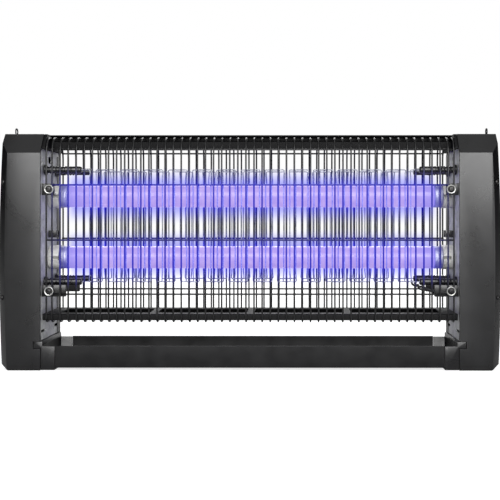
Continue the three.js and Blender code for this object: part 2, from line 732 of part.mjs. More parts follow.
function trayEndCap() {
  const shell = box(capInner, trayEnd, -half, trayRear, END_CAP_LIFT, END_CAP_TOP);
  const hollow = box(capInner - CUT, trayEnd - END_CAP_WALL, END_CAP_WALL - half,
    trayRear - END_CAP_WALL, TRAY_FLOOR + TRAY_SHEET, END_CAP_TOP + CUT);
  const runner = box(trayEnd - END_CAP_WALL, mouth + GROOVE_DEPTH - RUNNING_GAP, -half, trayRear,
    GROOVE_BOTTOM + RUNNING_GAP, GROOVE_TOP - RUNNING_GAP);
  return shell.subtract(hollow).add(runner);
}

// ---------------------------------------------------------------- fittings

function hangingEye() {
  const ringZ = HEIGHT + GAP + EYE_HOLE_RADIUS + 2 * EYE_WIRE_RADIUS;
  const ring = new THREE.TorusGeometry(EYE_HOLE_RADIUS + EYE_WIRE_RADIUS, EYE_WIRE_RADIUS, 6, 18);
  ring.rotateY(Math.PI / 2);
  ring.translate(eyeX, 0, ringZ);
  const shankTop = HEIGHT + GAP + 1.5 * EYE_WIRE_RADIUS;
  const shank = rod('z', EYE_SHANK_RADIUS, shankTop - EYE_SHANK_LENGTH, shankTop,
    { x: eyeX, y: 0 }, 8);
  return solid(ring).add(shank);
}

function coverScrew(z) {
  const profile = [
    [0, -GAP - COVER_SCREW_HEAD],
    [COVER_SCREW_HEAD_RADIUS * 0.75, -GAP - COVER_SCREW_HEAD],
    [COVER_SCREW_HEAD_RADIUS, -GAP - COVER_SCREW_HEAD * 0.4],
    [COVER_SCREW_HEAD_RADIUS, -GAP],
    [COVER_SCREW_RADIUS, -GAP],
    [COVER_SCREW_RADIUS, COVER_SCREW_LENGTH],
    [0, COVER_SCREW_LENGTH],
  ];
  const points = profile.map(([radius, height]) => new THREE.Vector2(radius, height));
  return ontoBevel(new THREE.LatheGeometry(points, 10), z);
}

// A module that stands on the outside of the right side plate, in the housing.
function module(form) {
  const start = plateOuter + GAP;
  return box(start, start + form.thickness, -form.halfDepth, form.halfDepth, form.bottom, form.top);
}

function panelFitting(fitting, z) {
  const w = fitting.width / 2;
  const h = fitting.height / 2;
  const lip = fitting.flange;
  const innerW = w - fitting.wall;
  const innerH = h - fitting.wall;
  const flange = box(panelX - w - lip, panelX + w + lip, half - PANEL_FLANGE, half,
    z - h - lip, z + h + lip);
  const body = box(panelX - w, panelX + w, half - fitting.depth, half, z - h, z + h);
  const cavity = box(panelX - innerW, panelX + innerW, half - fitting.cavity, half + CUT,
    z - innerH, z + innerH);
  return flange.add(body).subtract(cavity);
}

function mainsInlet() {
  const root = half - INLET.cavity - CUT;
  const tip = half - INLET.cavity + BLADE.length;
  const blades = [-1, 0, 1].map((step) => {
    const x = panelX + (step === 0 ? BLADE.offset : -BLADE.offset);
    const z = INLET_Z + step * BLADE.spacing;
    return box(x - BLADE.width / 2, x + BLADE.width / 2, root, tip,
      z - BLADE.thickness / 2, z + BLADE.thickness / 2);
  });
  return joinAll([panelFitting(INLET, INLET_Z), ...blades]);
}

function switchBody() {
  const w = SWITCH.width / 2 - SWITCH.wall + TRUNNION_LENGTH + GAP;
  const pivot = { y: half - ROCKER_PIVOT_DEPTH, z: SWITCH_Z };
  const bearing = rod('x', TRUNNION_RADIUS + RUNNING_GAP, panelX - w, panelX + w, pivot, 12);
  return panelFitting(SWITCH, SWITCH_Z).subtract(bearing);
}

// The rocker, drawn about its pivot and tipped to its rest position.
function rocker() {
  const w = SWITCH.width / 2 - SWITCH.wall - RUNNING_GAP;
  const h = SWITCH.height / 2 - SWITCH.wall - 2 * RUNNING_GAP;
  const shape = outline([
    [ROCKER.edge, -h],
    [ROCKER.dip, 0],
    [ROCKER.edge, h],
    [-ROCKER.skirt, h - ROCKER.draft],
    [-ROCKER.root, ROCKER.rootHalf],
    [-ROCKER.root, -ROCKER.rootHalf],
    [-ROCKER.skirt, ROCKER.draft - h],
  ]);
  const trunnionEnd = SWITCH.width / 2 - SWITCH.wall + TRUNNION_LENGTH;
  return prismX(shape, -w, w).add(rod('x', TRUNNION_RADIUS, -trunnionEnd, trunnionEnd, {}, 10));
}

// ---------------------------------------------------------------- materials

function finish(color, roughness, metalness) {
  return new THREE.MeshStandardMaterial({ color, roughness, metalness });
}

const blackPlastic = () => finish(0x1a1a1c, 0.42, 0);
const blackSteel = () => finish(0x161618, 0.45, 0.2);
const galvanised = () => finish(0xa6a8a8, 0.42, 0.85);
const electrodeSteel = () => finish(0x8d9092, 0.35, 0.9);
const zincScrew = () => finish(0xc4c4c0, 0.35, 0.9);
const whitePlastic = () => finish(0xe9e9e4, 0.45, 0);
const lampMetal = () => finish(0xb4b6ba, 0.3, 0.9);
const lampGlow = () => finish(0xc9b4f2, 0.2, 0);
const blackRubber = () => finish(0x121213, 0.7, 0);
const greyCasing = () => finish(0x55585c, 0.5, 0.1);

// ---------------------------------------------------------------- assembly

const zapper = new THREE.Group();

function put(parent, name, body, material) {
  const mesh = new THREE.Mesh(surface(body), material);
  mesh.name = name;
  parent.add(mesh);
  return mesh;
}

put(zapper, 'top_rail', topRail(), blackSteel());
put(zapper, 'bottom_plate', bottomPlate(), blackSteel());
put(zapper, 'tray_body', trayBody(), blackSteel());

for (const end of ['front', 'rear']) {
  const face = new THREE.Group();
  face.scale.y = end === 'front' ? 1 : -1;
  zapper.add(face);
  put(face, `${end}_guard`, wireGuard(), blackSteel());
  put(face, `${end}_live_electrode`, electrode(electrodeStart, true), electrodeSteel());
  const earthStart = electrodeStart + electrodePitch / 2;
  put(face, `${end}_earth_electrode`, electrode(earthStart, false), electrodeSteel());
}

for (const side of ['left', 'right']) {
  const isRight = side === 'right';
  const end = new THREE.Group();
  end.scale.x = isRight ? 1 : -1;
  zapper.add(end);
  put(end, `${side}_housing`, housing(isRight), blackPlastic());
  put(end, `${side}_side_plate`, sidePlate(), galvanised());
  put(end, `${side}_tray_end_cap`, trayEndCap(), blackPlastic());
  put(end, `${side}_wire_clip`, wireClip(), blackPlastic());
  put(end, `${side}_hanging_eye`, hangingEye(), blackSteel());
  for (const [level, z] of Object.entries(coverScrewHeights)) {
    put(end, `${side}_cover_screw_${level}`, coverScrew(z), blackSteel());
  }

  // Guard screws and insulators stand at the front, and again behind, mirrored front to back.
  for (const face of ['front', 'rear']) {
    const isFront = face === 'front';
    const group = new THREE.Group();
    group.scale.y = isFront ? 1 : -1;
    end.add(group);
    for (const [level, z] of [['upper', upperScrewZ], ['lower', LOWER_SCREW_Z]]) {
      const screw = put(group, `${face}_${side}_guard_screw_${level}`, guardScrew(), zincScrew());
      screw.position.set(guardScrewX, 0, z);
    }
    for (const [level, z] of [['upper', upperArmZ], ['lower', LOWER_ARM_Z]]) {
      // The live wire runs from the upper left arm to the lower right one.
      const holdsLive = isRight === (level === 'lower');
      put(group, `${face}_${side}_insulator_${level}`, insulator(z, holdsLive), blackPlastic());
    }
  }
}

put(zapper, 'front_hv_lead', lead(), blackRubber());
put(zapper, 'rear_hv_lead', lead(), blackRubber()).scale.y = -1;

for (const [level, z] of [['upper', upperLampZ], ['lower', LOWER_LAMP_Z]]) {
  const lamp = new THREE.Group();
  lamp.position.z = z;
  zapper.add(lamp);
  put(lamp, `${level}_lamp_glass`, lampGlass(), lampGlow());
  for (const side of ['left', 'right']) {
    const end = new THREE.Group();
    end.scale.x = side === 'right' ? 1 : -1;
    lamp.add(end);
    put(end, `${level}_lamp_cap_${side}`, lampCap(), lampMetal());
    put(end, `${level}_rotor_${side}`, rotor(), whitePlastic());
    put(end, `${level}_lamp_holder_${side}`, lampHolder(), whitePlastic());
  }
}

put(zapper, 'lamp_ballast', module(BALLAST), greyCasing()).scale.x = -1;
put(zapper, 'hv_generator', module(GENERATOR), greyCasing());
put(zapper, 'mains_inlet', mainsInlet(), blackPlastic());
put(zapper, 'switch_body', switchBody(), blackPlastic());
const switchRocker = put(zapper, 'switch_rocker', rocker(), blackPlastic());
switchRocker.position.set(panelX, half - ROCKER_PIVOT_DEPTH, SWITCH_Z);
switchRocker.rotation.x = THREE.MathUtils.degToRad(ROCKER_TILT);

export default zapper;
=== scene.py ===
# %% [markdown]
# # An electric bug zapper, from its CAD frame to its finish
#
# The object is a cage of black wire between two moulded end housings. Two violet tubes glow
# inside it, electrode wires stand in front of and behind them, and a tray slides out below.
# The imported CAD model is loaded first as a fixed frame. Each piece that shows is then modelled
# round it at the same place, and given the finish that its real material has.

import math

import bmesh
import bpy
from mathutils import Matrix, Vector


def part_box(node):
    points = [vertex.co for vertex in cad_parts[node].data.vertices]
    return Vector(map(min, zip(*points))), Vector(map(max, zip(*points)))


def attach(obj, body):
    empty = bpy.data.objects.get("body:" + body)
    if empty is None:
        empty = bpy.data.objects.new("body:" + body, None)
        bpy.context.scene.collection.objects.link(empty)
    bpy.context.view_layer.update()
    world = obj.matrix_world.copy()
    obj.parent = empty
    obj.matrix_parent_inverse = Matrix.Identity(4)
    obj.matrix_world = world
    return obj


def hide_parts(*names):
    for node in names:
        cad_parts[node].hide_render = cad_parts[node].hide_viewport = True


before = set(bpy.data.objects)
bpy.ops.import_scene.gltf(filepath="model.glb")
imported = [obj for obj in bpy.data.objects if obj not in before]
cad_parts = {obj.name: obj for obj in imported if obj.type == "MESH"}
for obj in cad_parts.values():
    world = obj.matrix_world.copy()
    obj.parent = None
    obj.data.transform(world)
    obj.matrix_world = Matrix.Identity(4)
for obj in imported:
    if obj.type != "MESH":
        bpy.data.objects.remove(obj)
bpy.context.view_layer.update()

MM = 0.001
SIDES = {"left": -1, "right": 1}
FACES = {"front": -1, "rear": 1}
LEVELS = ("upper", "lower")


def middle(node):
    """The middle of a CAD node's box."""
    low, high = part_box(node)
    return (low + high) / 2


# %% [markdown]
# ## The camera
#
# The view is nearly square on, from the height of the cage's middle and a little to the right,
# so the inside of the left side plate shows more than that of the right one. A shift lens keeps
# uprights straight. Blender's camera has the same shift, so the camera stays level and the
# picture is moved instead of the aim.

# %% Camera
LENS = 66.7                       # mm, on the standard 36 mm sensor
CAMERA_PLACE = Vector((44.8, -1065.0, 174.7)) * MM
CAMERA_YAW = 0.18                 # degrees to the left

camera = bpy.data.objects.new("camera", bpy.data.cameras.new("camera"))
bpy.context.scene.collection.objects.link(camera)
camera.location = CAMERA_PLACE
camera.rotation_euler = (math.pi / 2, 0, math.radians(CAMERA_YAW))
camera.data.lens = LENS
camera.data.shift_x = -0.0749
camera.data.shift_y = -0.076
bpy.context.scene.camera = camera
print("camera:", tuple(round(v, 3) for v in camera.location))

# %% [markdown]
# ## How materials are written
#
# Every finish starts from a real one and its typical values. Colours are sRGB hex values, and
# one function turns them to the linear numbers that shaders take. A pattern's scale comes from
# a real size: a texture of scale 1 has features about a metre across on Object coordinates, so
# features of some millimetres need a scale of a thousand divided by them.

# %% Colour, scale and node helpers
def linear(hex_colour):
    """An sRGB hex colour as linear red, green, blue and alpha."""
    shares = [int(hex_colour[i:i + 2], 16) / 255 for i in (1, 3, 5)]
    return [s / 12.92 if s <= 0.04045 else ((s + 0.055) / 1.055) ** 2.4 for s in shares] + [1]


def scale_of(size):
    """The texture scale whose features are about size millimetres across."""
    return 1 / (size * MM)


def add_node(material, kind, inputs=None, **settings):
    """Adds a node. Inputs are values, or the outputs of other nodes to link."""
    node = material.node_tree.nodes.new("ShaderNode" + kind)
    for name, value in settings.items():
        setattr(node, name, value)
    for socket, value in (inputs or {}).items():
        if isinstance(value, bpy.types.NodeSocket):
            material.node_tree.links.new(value, node.inputs[socket])
        else:
            node.inputs[socket].default_value = value
    return node


def new_material(name, metallic, ior=None, specular=None):
    """A material with a Principled shader, and the Object coordinates its patterns read."""
    material = bpy.data.materials.new(name)
    material.use_nodes = True
    shader = material.node_tree.nodes["Principled BSDF"]
    shader.inputs["Metallic"].default_value = metallic
    if ior:
        shader.inputs["IOR"].default_value = ior
    if specular:
        shader.inputs["Specular IOR Level"].default_value = specular
    place = add_node(material, "TexCoord").outputs["Object"]
    return material, shader, place


def connect(material, socket, output):
    material.node_tree.links.new(output, socket)


# %% [markdown]
# ## Surface helpers
#
# Nearly every finish here is a colour that wanders a little, a roughness that wanders with it,
# and a fine relief. These three helpers put such a pattern into a shader. What the pattern is,
# and how large, is set by each material.

# %% Pattern helpers
def mottle(material, shader, pattern, dark, light):
    """Lets the base colour wander between two colours with a pattern."""
    ramp = add_node(material, "ValToRGB", {"Fac": pattern})
    ramp.color_ramp.elements[0].position = 0.3
    ramp.color_ramp.elements[0].color = linear(dark)
    ramp.color_ramp.elements[1].position = 0.7
    ramp.color_ramp.elements[1].color = linear(light)
    connect(material, shader.inputs["Base Color"], ramp.outputs["Color"])


def vary_roughness(material, shader, pattern, smooth, rough):
    """Lets the roughness wander between two values with a pattern."""
    spread = add_node(material, "MapRange", {
        "Value": pattern, "From Min": 0.3, "From Max": 0.7, "To Min": smooth, "To Max": rough})
    connect(material, shader.inputs["Roughness"], spread.outputs["Result"])


def relief(material, shader, pattern, height, strength):
    """Raises a pattern by height millimetres."""
    bump = add_node(material, "Bump", {
        "Height": pattern, "Distance": height * MM, "Strength": strength})
    connect(material, shader.inputs["Normal"], bump.outputs["Normal"])


# %% [markdown]
# ## Black moulded ABS
#
# The housings are injection-moulded ABS, black right through. The mould is lightly spark-eroded,
# which leaves a grain of a few tenths of a millimetre and a satin gloss: the plastic is nearly
# black by itself, and what the eye sees is mostly the soft reflection of the room. Handling
# leaves broad, faint smears, which show only as a change of gloss.

# %% Moulded ABS
def make_moulded_abs():
    material, shader, place = new_material("moulded_abs", 0, ior=1.54)
    grain = add_node(material, "TexNoise", {
        "Vector": place, "Scale": scale_of(0.45), "Detail": 2.0, "Roughness": 0.6})
    smears = add_node(material, "TexNoise", {
        "Vector": place, "Scale": scale_of(38), "Detail": 4.0, "Roughness": 0.62, "Distortion": 0.8})
    mottle(material, shader, smears.outputs["Fac"], "#060607", "#0c0c0e")
    vary_roughness(material, shader, smears.outputs["Fac"], 0.25, 0.35)
    relief(material, shader, grain.outputs["Fac"], 0.03, 0.35)
    return material


moulded_abs = make_moulded_abs()

# %% [markdown]
# ## Galvanised sheet
#
# The side plates are hot-dip galvanised steel. Zinc freezes in flat crystals a few millimetres
# across, the spangle, and each crystal has its own tone and gloss. Over that lies a dull oxide
# bloom, and the rolling of the steel leaves faint upright streaks.

# %% Galvanised sheet
def make_galvanised_sheet():
    material, shader, place = new_material("galvanised_sheet", 0.7)
    bent = add_node(material, "TexNoise", {"Vector": place, "Scale": scale_of(6), "Detail": 2.0})
    jagged = add_node(material, "MixRGB", {"Fac": 0.012, "Color1": place, "Color2": bent.outputs["Color"]})
    spangle = add_node(material, "TexVoronoi", {
        "Vector": jagged.outputs["Color"], "Scale": scale_of(7.5), "Randomness": 1.0})
    tone = add_node(material, "SeparateColor", {"Color": spangle.outputs["Color"]})
    bloom = add_node(material, "TexNoise", {"Vector": place, "Scale": scale_of(22), "Detail": 5.0})
    crystal = add_node(material, "Math", {0: tone.outputs["Red"], 1: bloom.outputs["Fac"]}, operation="ADD")
    halved = add_node(material, "Math", {0: crystal.outputs["Value"], 1: 0.5}, operation="MULTIPLY")
    mottle(material, shader, halved.outputs["Value"], "#bfc1c2", "#e2e3e3")
    vary_roughness(material, shader, halved.outputs["Value"], 0.4, 0.6)
    stretch = add_node(material, "Mapping", {"Vector": place, "Scale": (1, 9, 0.6)})
    streaks = add_node(material, "TexNoise", {
        "Vector": stretch.outputs["Vector"], "Scale": scale_of(4), "Detail": 3.0})
    relief(material, shader, streaks.outputs["Fac"], 0.02, 0.25)
    return material


galvanised_sheet = make_galvanised_sheet()

# %% [markdown]
# ## The tubes' light on what stands before them
#
# The electrodes and guard wires stand only a few centimetres from the tubes, and their blue glow
# spills round every wire. It is strongest level with a tube and fades over the next 20 mm above
# and below, and past the tubes' ends. Lighting it with real rays would need a haze in the cage,
# so it is a faint emission that depends on where on the object the surface is.

# %% Spilled light
GLOW_REACH = 23 * MM              # how far the glow carries past a tube's edge
TUBE_RADIUS = (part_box("upper_lamp_glass")[1].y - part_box("upper_lamp_glass")[0].y) / 2
TUBE_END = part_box("upper_lamp_glass")[1].x


def spilled_light(material, shader, place, strength, colour="#1c18ff"):
    """Adds the tubes' blue glow to a shader, by the height above or below each tube."""
    split = add_node(material, "SeparateXYZ", {"Vector": place})
    glows = []
    for level in LEVELS:
        off = add_node(material, "Math", {
            0: split.outputs["Z"], 1: middle(f"{level}_lamp_glass").z}, operation="SUBTRACT")
        away = add_node(material, "Math", {0: off.outputs["Value"]}, operation="ABSOLUTE")
        near = add_node(material, "MapRange", {
            "Value": away.outputs["Value"], "From Min": TUBE_RADIUS - 2 * MM,
            "From Max": TUBE_RADIUS + GLOW_REACH, "To Min": 1.0, "To Max": 0.0})
        soft = add_node(material, "Math", {0: near.outputs["Result"], 1: 1.9}, operation="POWER")
        glows.append(soft.outputs["Value"])
    both = add_node(material, "Math", {0: glows[0], 1: glows[1]}, operation="ADD")
    along = add_node(material, "Math", {0: split.outputs["X"]}, operation="ABSOLUTE")
    ends = add_node(material, "MapRange", {
        "Value": along.outputs["Value"], "From Min": TUBE_END - 12 * MM,
        "From Max": TUBE_END + 14 * MM, "To Min": strength, "To Max": 0.0})
    total = add_node(material, "Math", {
        0: both.outputs["Value"], 1: ends.outputs["Result"]}, operation="MULTIPLY")
    shader.inputs["Emission Color"].default_value = linear(colour)
    connect(material, shader.inputs["Emission Strength"], total.outputs["Value"])


# %% [markdown]
# ## Powder coat on sheet and wire
#
# The tray, rail and bottom plate are steel sheet with a black powder coat, and the guards are
# welded wire with the same. Powder melts into a slightly wavy skin, the orange peel, with waves
# of a millimetre or so on sheet and finer ones on wire. The rail and the bottom plate have a
# matte grade of it, which keeps them dark under the cage's light.

# %% Powder coats
def make_powder_coat(name, wave, smooth, rough, specular):
    material, shader, place = new_material(name, 0, ior=1.5, specular=specular)
    peel = add_node(material, "TexNoise", {"Vector": place, "Scale": scale_of(wave), "Detail": 1.0})
    wear = add_node(material, "TexNoise", {"Vector": place, "Scale": scale_of(16), "Detail": 6.0})
    mottle(material, shader, wear.outputs["Fac"], "#070708", "#0e0e0f")
    vary_roughness(material, shader, wear.outputs["Fac"], smooth, rough)
    relief(material, shader, peel.outputs["Fac"], 0.05, 0.3)
    return material, shader, place


powder_coated_sheet = make_powder_coat("powder_coated_sheet", 1.3, 0.3, 0.44, 0.38)[0]
matte_powder_coat = make_powder_coat("matte_powder_coat", 1.0, 0.5, 0.62, 0.12)[0]
coated_wire, wire_shader, wire_place = make_powder_coat("coated_wire", 0.7, 0.28, 0.42, 0.5)
spilled_light(coated_wire, wire_shader, wire_place, 0.5)

# %% [markdown]
# ## Bare metals
#
# The electrodes are drawn steel wire, with fine lines along them from the die. The guard screws
# are zinc-plated, bright with a faint warm and cold shift in the passivation, and the small
# cover screws are black-oxide steel. The lamp caps are drawn aluminium, polished by the tool in
# fine rings round the axis.

# %% Bare metals
def make_bare_metal(name, dark, light, smooth, rough, grain, stretch):
    material, shader, place = new_material(name, 1)
    drawn = add_node(material, "Mapping", {"Vector": place, "Scale": stretch})
    lines = add_node(material, "TexNoise", {
        "Vector": drawn.outputs["Vector"], "Scale": scale_of(grain), "Detail": 3.0})
    stain = add_node(material, "TexNoise", {"Vector": place, "Scale": scale_of(9), "Detail": 4.0})
    mottle(material, shader, stain.outputs["Fac"], dark, light)
    vary_roughness(material, shader, lines.outputs["Fac"], smooth, rough)
    relief(material, shader, lines.outputs["Fac"], 0.02, 0.25)
    return material, shader, place


electrode_steel, electrode_shader, electrode_place = make_bare_metal(
    "drawn_electrode_steel", "#8a8d90", "#a9acae", 0.3, 0.45, 0.5, (1, 1, 0.1))
spilled_light(electrode_steel, electrode_shader, electrode_place, 0.62)
zinc_plate = make_bare_metal("zinc_plate", "#d6d7d2", "#ebebe8", 0.34, 0.46, 0.6, (1, 1, 1))[0]
black_oxide = make_bare_metal("black_oxide_steel", "#343436", "#4a4948", 0.3, 0.45, 0.5, (1, 1, 1))[0]
cap_aluminium, cap_shader, cap_place = make_bare_metal(
    "drawn_aluminium", "#a2a4a8", "#bfc1c4", 0.5, 0.62, 0.35, (1, 0.05, 0.05))
# The caps also carry the tubes' light as a painted blue glow: an emission set by height, not light from
# rays.
spilled_light(cap_aluminium, cap_shader, cap_place, 0.75, "#625cff")

# %% [markdown]
# ## Small mouldings
#
# The insulator arms are black nylon, glossier than the housings because their mould is polished.
# The lampholders are white PBT, which takes heat and yellows a little. The fittings at the back
# are black nylon, the modules inside have a coarse-grained casing, and the leads have a soft,
# dull silicone sleeve.

# %% Mouldings
def make_moulding(name, dark, light, smooth, rough, grain, ior):
    material, shader, place = new_material(name, 0, ior=ior)
    skin = add_node(material, "TexNoise", {"Vector": place, "Scale": scale_of(grain), "Detail": 3.0})
    flow = add_node(material, "TexNoise", {
        "Vector": place, "Scale": scale_of(14), "Detail": 4.0, "Distortion": 1.4})
    mottle(material, shader, flow.outputs["Fac"], dark, light)
    vary_roughness(material, shader, flow.outputs["Fac"], smooth, rough)
    relief(material, shader, skin.outputs["Fac"], 0.03, 0.25)
    return material


insulator_nylon = make_moulding("insulator_nylon", "#0d0d0f", "#19191c", 0.18, 0.3, 0.8, 1.53)
white_pbt = make_moulding("white_pbt", "#b9b8b2", "#d0d0ca", 0.28, 0.4, 0.6, 1.55)
fitting_nylon = make_moulding("fitting_nylon", "#0c0c0d", "#151517", 0.2, 0.34, 0.5, 1.53)
module_casing = make_moulding("module_casing", "#3b3d40", "#4c4e52", 0.45, 0.6, 0.9, 1.5)
lead_silicone = make_moulding("lead_silicone", "#0b0b0c", "#151516", 0.5, 0.65, 0.4, 1.41)
lead_silicone.node_tree.nodes["Principled BSDF"].inputs["Sheen Weight"].default_value = 0.15

# %% [markdown]
# ## Glowing tube
#
# A black-light lamp is clear glass with a phosphor inside, which glows pale violet. The powder
# is a little uneven, and it is thinner towards the electrodes at the ends, where the tube looks
# bluer. Outside it is plain polished glass, so it keeps a coat of sharp reflections.

# %% Phosphor glass
def make_phosphor_glass():
    material, shader, place = new_material("phosphor_glass", 0, ior=1.5)
    powder = add_node(material, "TexNoise", {"Vector": place, "Scale": scale_of(11), "Detail": 5.0})
    split = add_node(material, "SeparateXYZ", {"Vector": place})
    along = add_node(material, "Math", {0: split.outputs["X"]}, operation="ABSOLUTE")
    ends = add_node(material, "MapRange", {
        "Value": along.outputs["Value"], "From Min": TUBE_END - 34 * MM, "From Max": TUBE_END,
        "To Min": 0.0, "To Max": 1.0})
    glow = add_node(material, "ValToRGB", {"Fac": powder.outputs["Fac"]})
    glow.color_ramp.elements[0].position = 0.35
    glow.color_ramp.elements[0].color = linear("#b9a2fa")
    glow.color_ramp.elements[1].position = 0.65
    glow.color_ramp.elements[1].color = linear("#cdb6ff")
    tinted = add_node(material, "MixRGB", {
        "Fac": ends.outputs["Result"], "Color1": glow.outputs["Color"], "Color2": linear("#a094fa")})
    shader.inputs["Base Color"].default_value = linear("#4a4460")
    vary_roughness(material, shader, powder.outputs["Fac"], 0.2, 0.3)
    relief(material, shader, powder.outputs["Fac"], 0.02, 0.1)
    connect(material, shader.inputs["Emission Color"], tinted.outputs["Color"])
    shader.inputs["Emission Strength"].default_value = 0.79
    return material


phosphor_glass = make_phosphor_glass()
print("materials:", sorted(m.name for m in bpy.data.materials if m.use_nodes)[:20])

# %% [markdown]
# ## Modelling by hand, in code
#
# Every piece is made as it would be by hand: a primitive is added where it belongs, shaped in
# edit mode, and finished with modifiers. Operators act on whatever is selected, so everything is
# deselected first. At the end each object stands at the origin with its place in its mesh.

# %% Start, edit and select
def deselect_all():
    if bpy.context.object and bpy.context.object.mode != "OBJECT":
        bpy.ops.object.mode_set(mode="OBJECT")
    bpy.ops.object.select_all(action="DESELECT")


def take(piece):
    """Makes a piece the only selected object."""
    deselect_all()
    piece.select_set(True)
    bpy.context.view_layer.objects.active = piece


def start(name, add, **settings):
    """Adds a primitive by itself, settles its place into its mesh and names it."""
    deselect_all()
    add(**settings)
    bpy.ops.object.transform_apply(location=True, rotation=True, scale=True)
    piece = bpy.context.object
    piece.name = piece.data.name = name
    return piece


def block(name, low, high):
    """A cube stretched between two corners."""
    low, high = Vector(low), Vector(high)
    return start(name, bpy.ops.mesh.primitive_cube_add, size=1, location=(low + high) / 2,
                 scale=high - low)


def edit(piece, kind="FACE"):
    """Enters edit mode with nothing selected."""
    take(piece)
    bpy.ops.object.mode_set(mode="EDIT")
    bpy.ops.mesh.select_mode(type=kind)
    bpy.ops.mesh.select_all(action="DESELECT")


def select_faces(piece, test):
    """In edit mode, selects the faces whose middle and normal pass the test."""
    mesh = bmesh.from_edit_mesh(piece.data)
    for face in mesh.faces:
        face.select = test(face.calc_center_median(), face.normal)
    mesh.select_flush_mode()
    bmesh.update_edit_mesh(piece.data)


def select_edges(piece, test):
    """In edit mode, selects the edges whose two ends pass the test."""
    mesh = bmesh.from_edit_mesh(piece.data)
    for edge in mesh.edges:
        edge.select = test(edge.verts[0].co, edge.verts[1].co)
    mesh.select_flush_mode()
    bmesh.update_edit_mesh(piece.data)


def select_everything():
    bpy.ops.mesh.select_all(action="SELECT")


def merge_and_face_out():
    """In edit mode, merges doubled points and turns every face outwards."""
    select_everything()
    bpy.ops.mesh.remove_doubles(threshold=1e-6)
    bpy.ops.mesh.normals_make_consistent(inside=False)


def move(value):
    bpy.ops.transform.translate(value=value)


def extrude(value):
    bpy.ops.mesh.extrude_region_move(TRANSFORM_OT_translate={"value": value})


# %% Modifiers, copies and joins
def apply_modifier(piece, kind, **settings):
    """Adds a modifier and applies it."""
    take(piece)
    modifier = piece.modifiers.new(kind.lower(), kind)
    for name, value in settings.items():
        setattr(modifier, name, value)
    bpy.ops.object.modifier_apply(modifier=modifier.name)


def combine(piece, tool, operation):
    """Joins a tool to a piece, or cuts it out, and removes the tool."""
    apply_modifier(piece, "BOOLEAN", object=tool, operation=operation, solver="EXACT")
    bpy.data.objects.remove(tool)


def round_edges(piece, width, segments=2, angle=28):
    """Rounds every edge sharper than angle, by width millimetres."""
    apply_modifier(piece, "BEVEL", width=width * MM, segments=segments, limit_method="ANGLE",
                   angle_limit=math.radians(angle), harden_normals=False)


def smooth(piece, angle=32):
    take(piece)
    bpy.ops.object.shade_smooth_by_angle(angle=math.radians(angle))


def copy(piece, name):
    """A copy with its own mesh."""
    take(piece)
    bpy.ops.object.duplicate()
    twin = bpy.context.object
    twin.name = twin.data.name = name
    return twin


def moved_copy(piece, name, by):
    twin = copy(piece, name)
    edit(twin)
    select_everything()
    move(by)
    deselect_all()
    return twin


def mirrored_copy(piece, name, axis):
    """A copy mirrored through the origin along one axis, with its faces turned out again."""
    twin = copy(piece, name)
    edit(twin)
    select_everything()
    factors = tuple(-1 if a == axis else 1 for a in "XYZ")
    bpy.ops.transform.resize(value=factors, center_override=(0, 0, 0))
    bpy.ops.mesh.flip_normals()
    deselect_all()
    return twin


def corner_copies(right, kind, level):
    """The front right piece and its mirrored copies at the other three corners."""
    copies = {"front_right": right,
              "front_left": mirrored_copy(right, f"front_left_{kind}_{level}", "X"),
              "rear_right": mirrored_copy(right, f"rear_right_{kind}_{level}", "Y")}
    copies["rear_left"] = mirrored_copy(copies["front_left"], f"rear_left_{kind}_{level}", "Y")
    return copies


def join(piece, others):
    """Makes one object of several."""
    take(piece)
    for other in others:
        other.select_set(True)
    bpy.ops.object.join()
    return piece


def finish_piece(piece, material, slot, body, *nodes):
    """Gives a piece its material, hides the frame nodes it stands in for, and parents it to the body it
    rides on.
    """
    piece.data.materials.clear()
    piece.data.materials.append(material)
    if nodes:
        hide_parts(*nodes)
    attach(piece, body)
    return piece


# %% [markdown]
# ## Turned pieces
#
# Screws, insulators and lamp caps are round about an axis. Each starts as a disc, and its outline
# is followed by extruding the disc's face a step and resizing it, ring after ring. A step of no
# length makes a shoulder.

# %% Turned pieces
AXES = {"X": Vector((1, 0, 0)), "Y": Vector((0, 1, 0)), "Z": Vector((0, 0, 1))}


def turned(name, axis, place, outline, sides=32):
    """A turned piece. outline is a list of (radius, distance along axis), in millimetres."""
    along = Vector(AXES.get(axis, axis)).normalized()
    radius, distance = outline[0]
    centre = Vector(place) + along * distance * MM
    piece = start(name, bpy.ops.mesh.primitive_circle_add, vertices=sides, radius=radius * MM,
                  fill_type="NGON", location=centre,
                  rotation=along.to_track_quat("Z", "Y").to_euler())
    edit(piece)
    select_everything()
    for next_radius, next_distance in outline[1:]:
        step = along * (next_distance - distance) * MM
        extrude(step)
        centre = centre + step
        ratio = next_radius / radius
        if ratio != 1:
            bpy.ops.transform.resize(value=(ratio, ratio, ratio), center_override=centre)
        radius, distance = next_radius, next_distance
    merge_and_face_out()
    deselect_all()
    return piece


# %% [markdown]
# ## Bent wire
#
# The guards and electrodes are round wire, bent on a former. A ring of edges is the wire's
# section: it is extruded along each straight and spun round each bend, as the wire itself is
# made, and the two ends are capped.

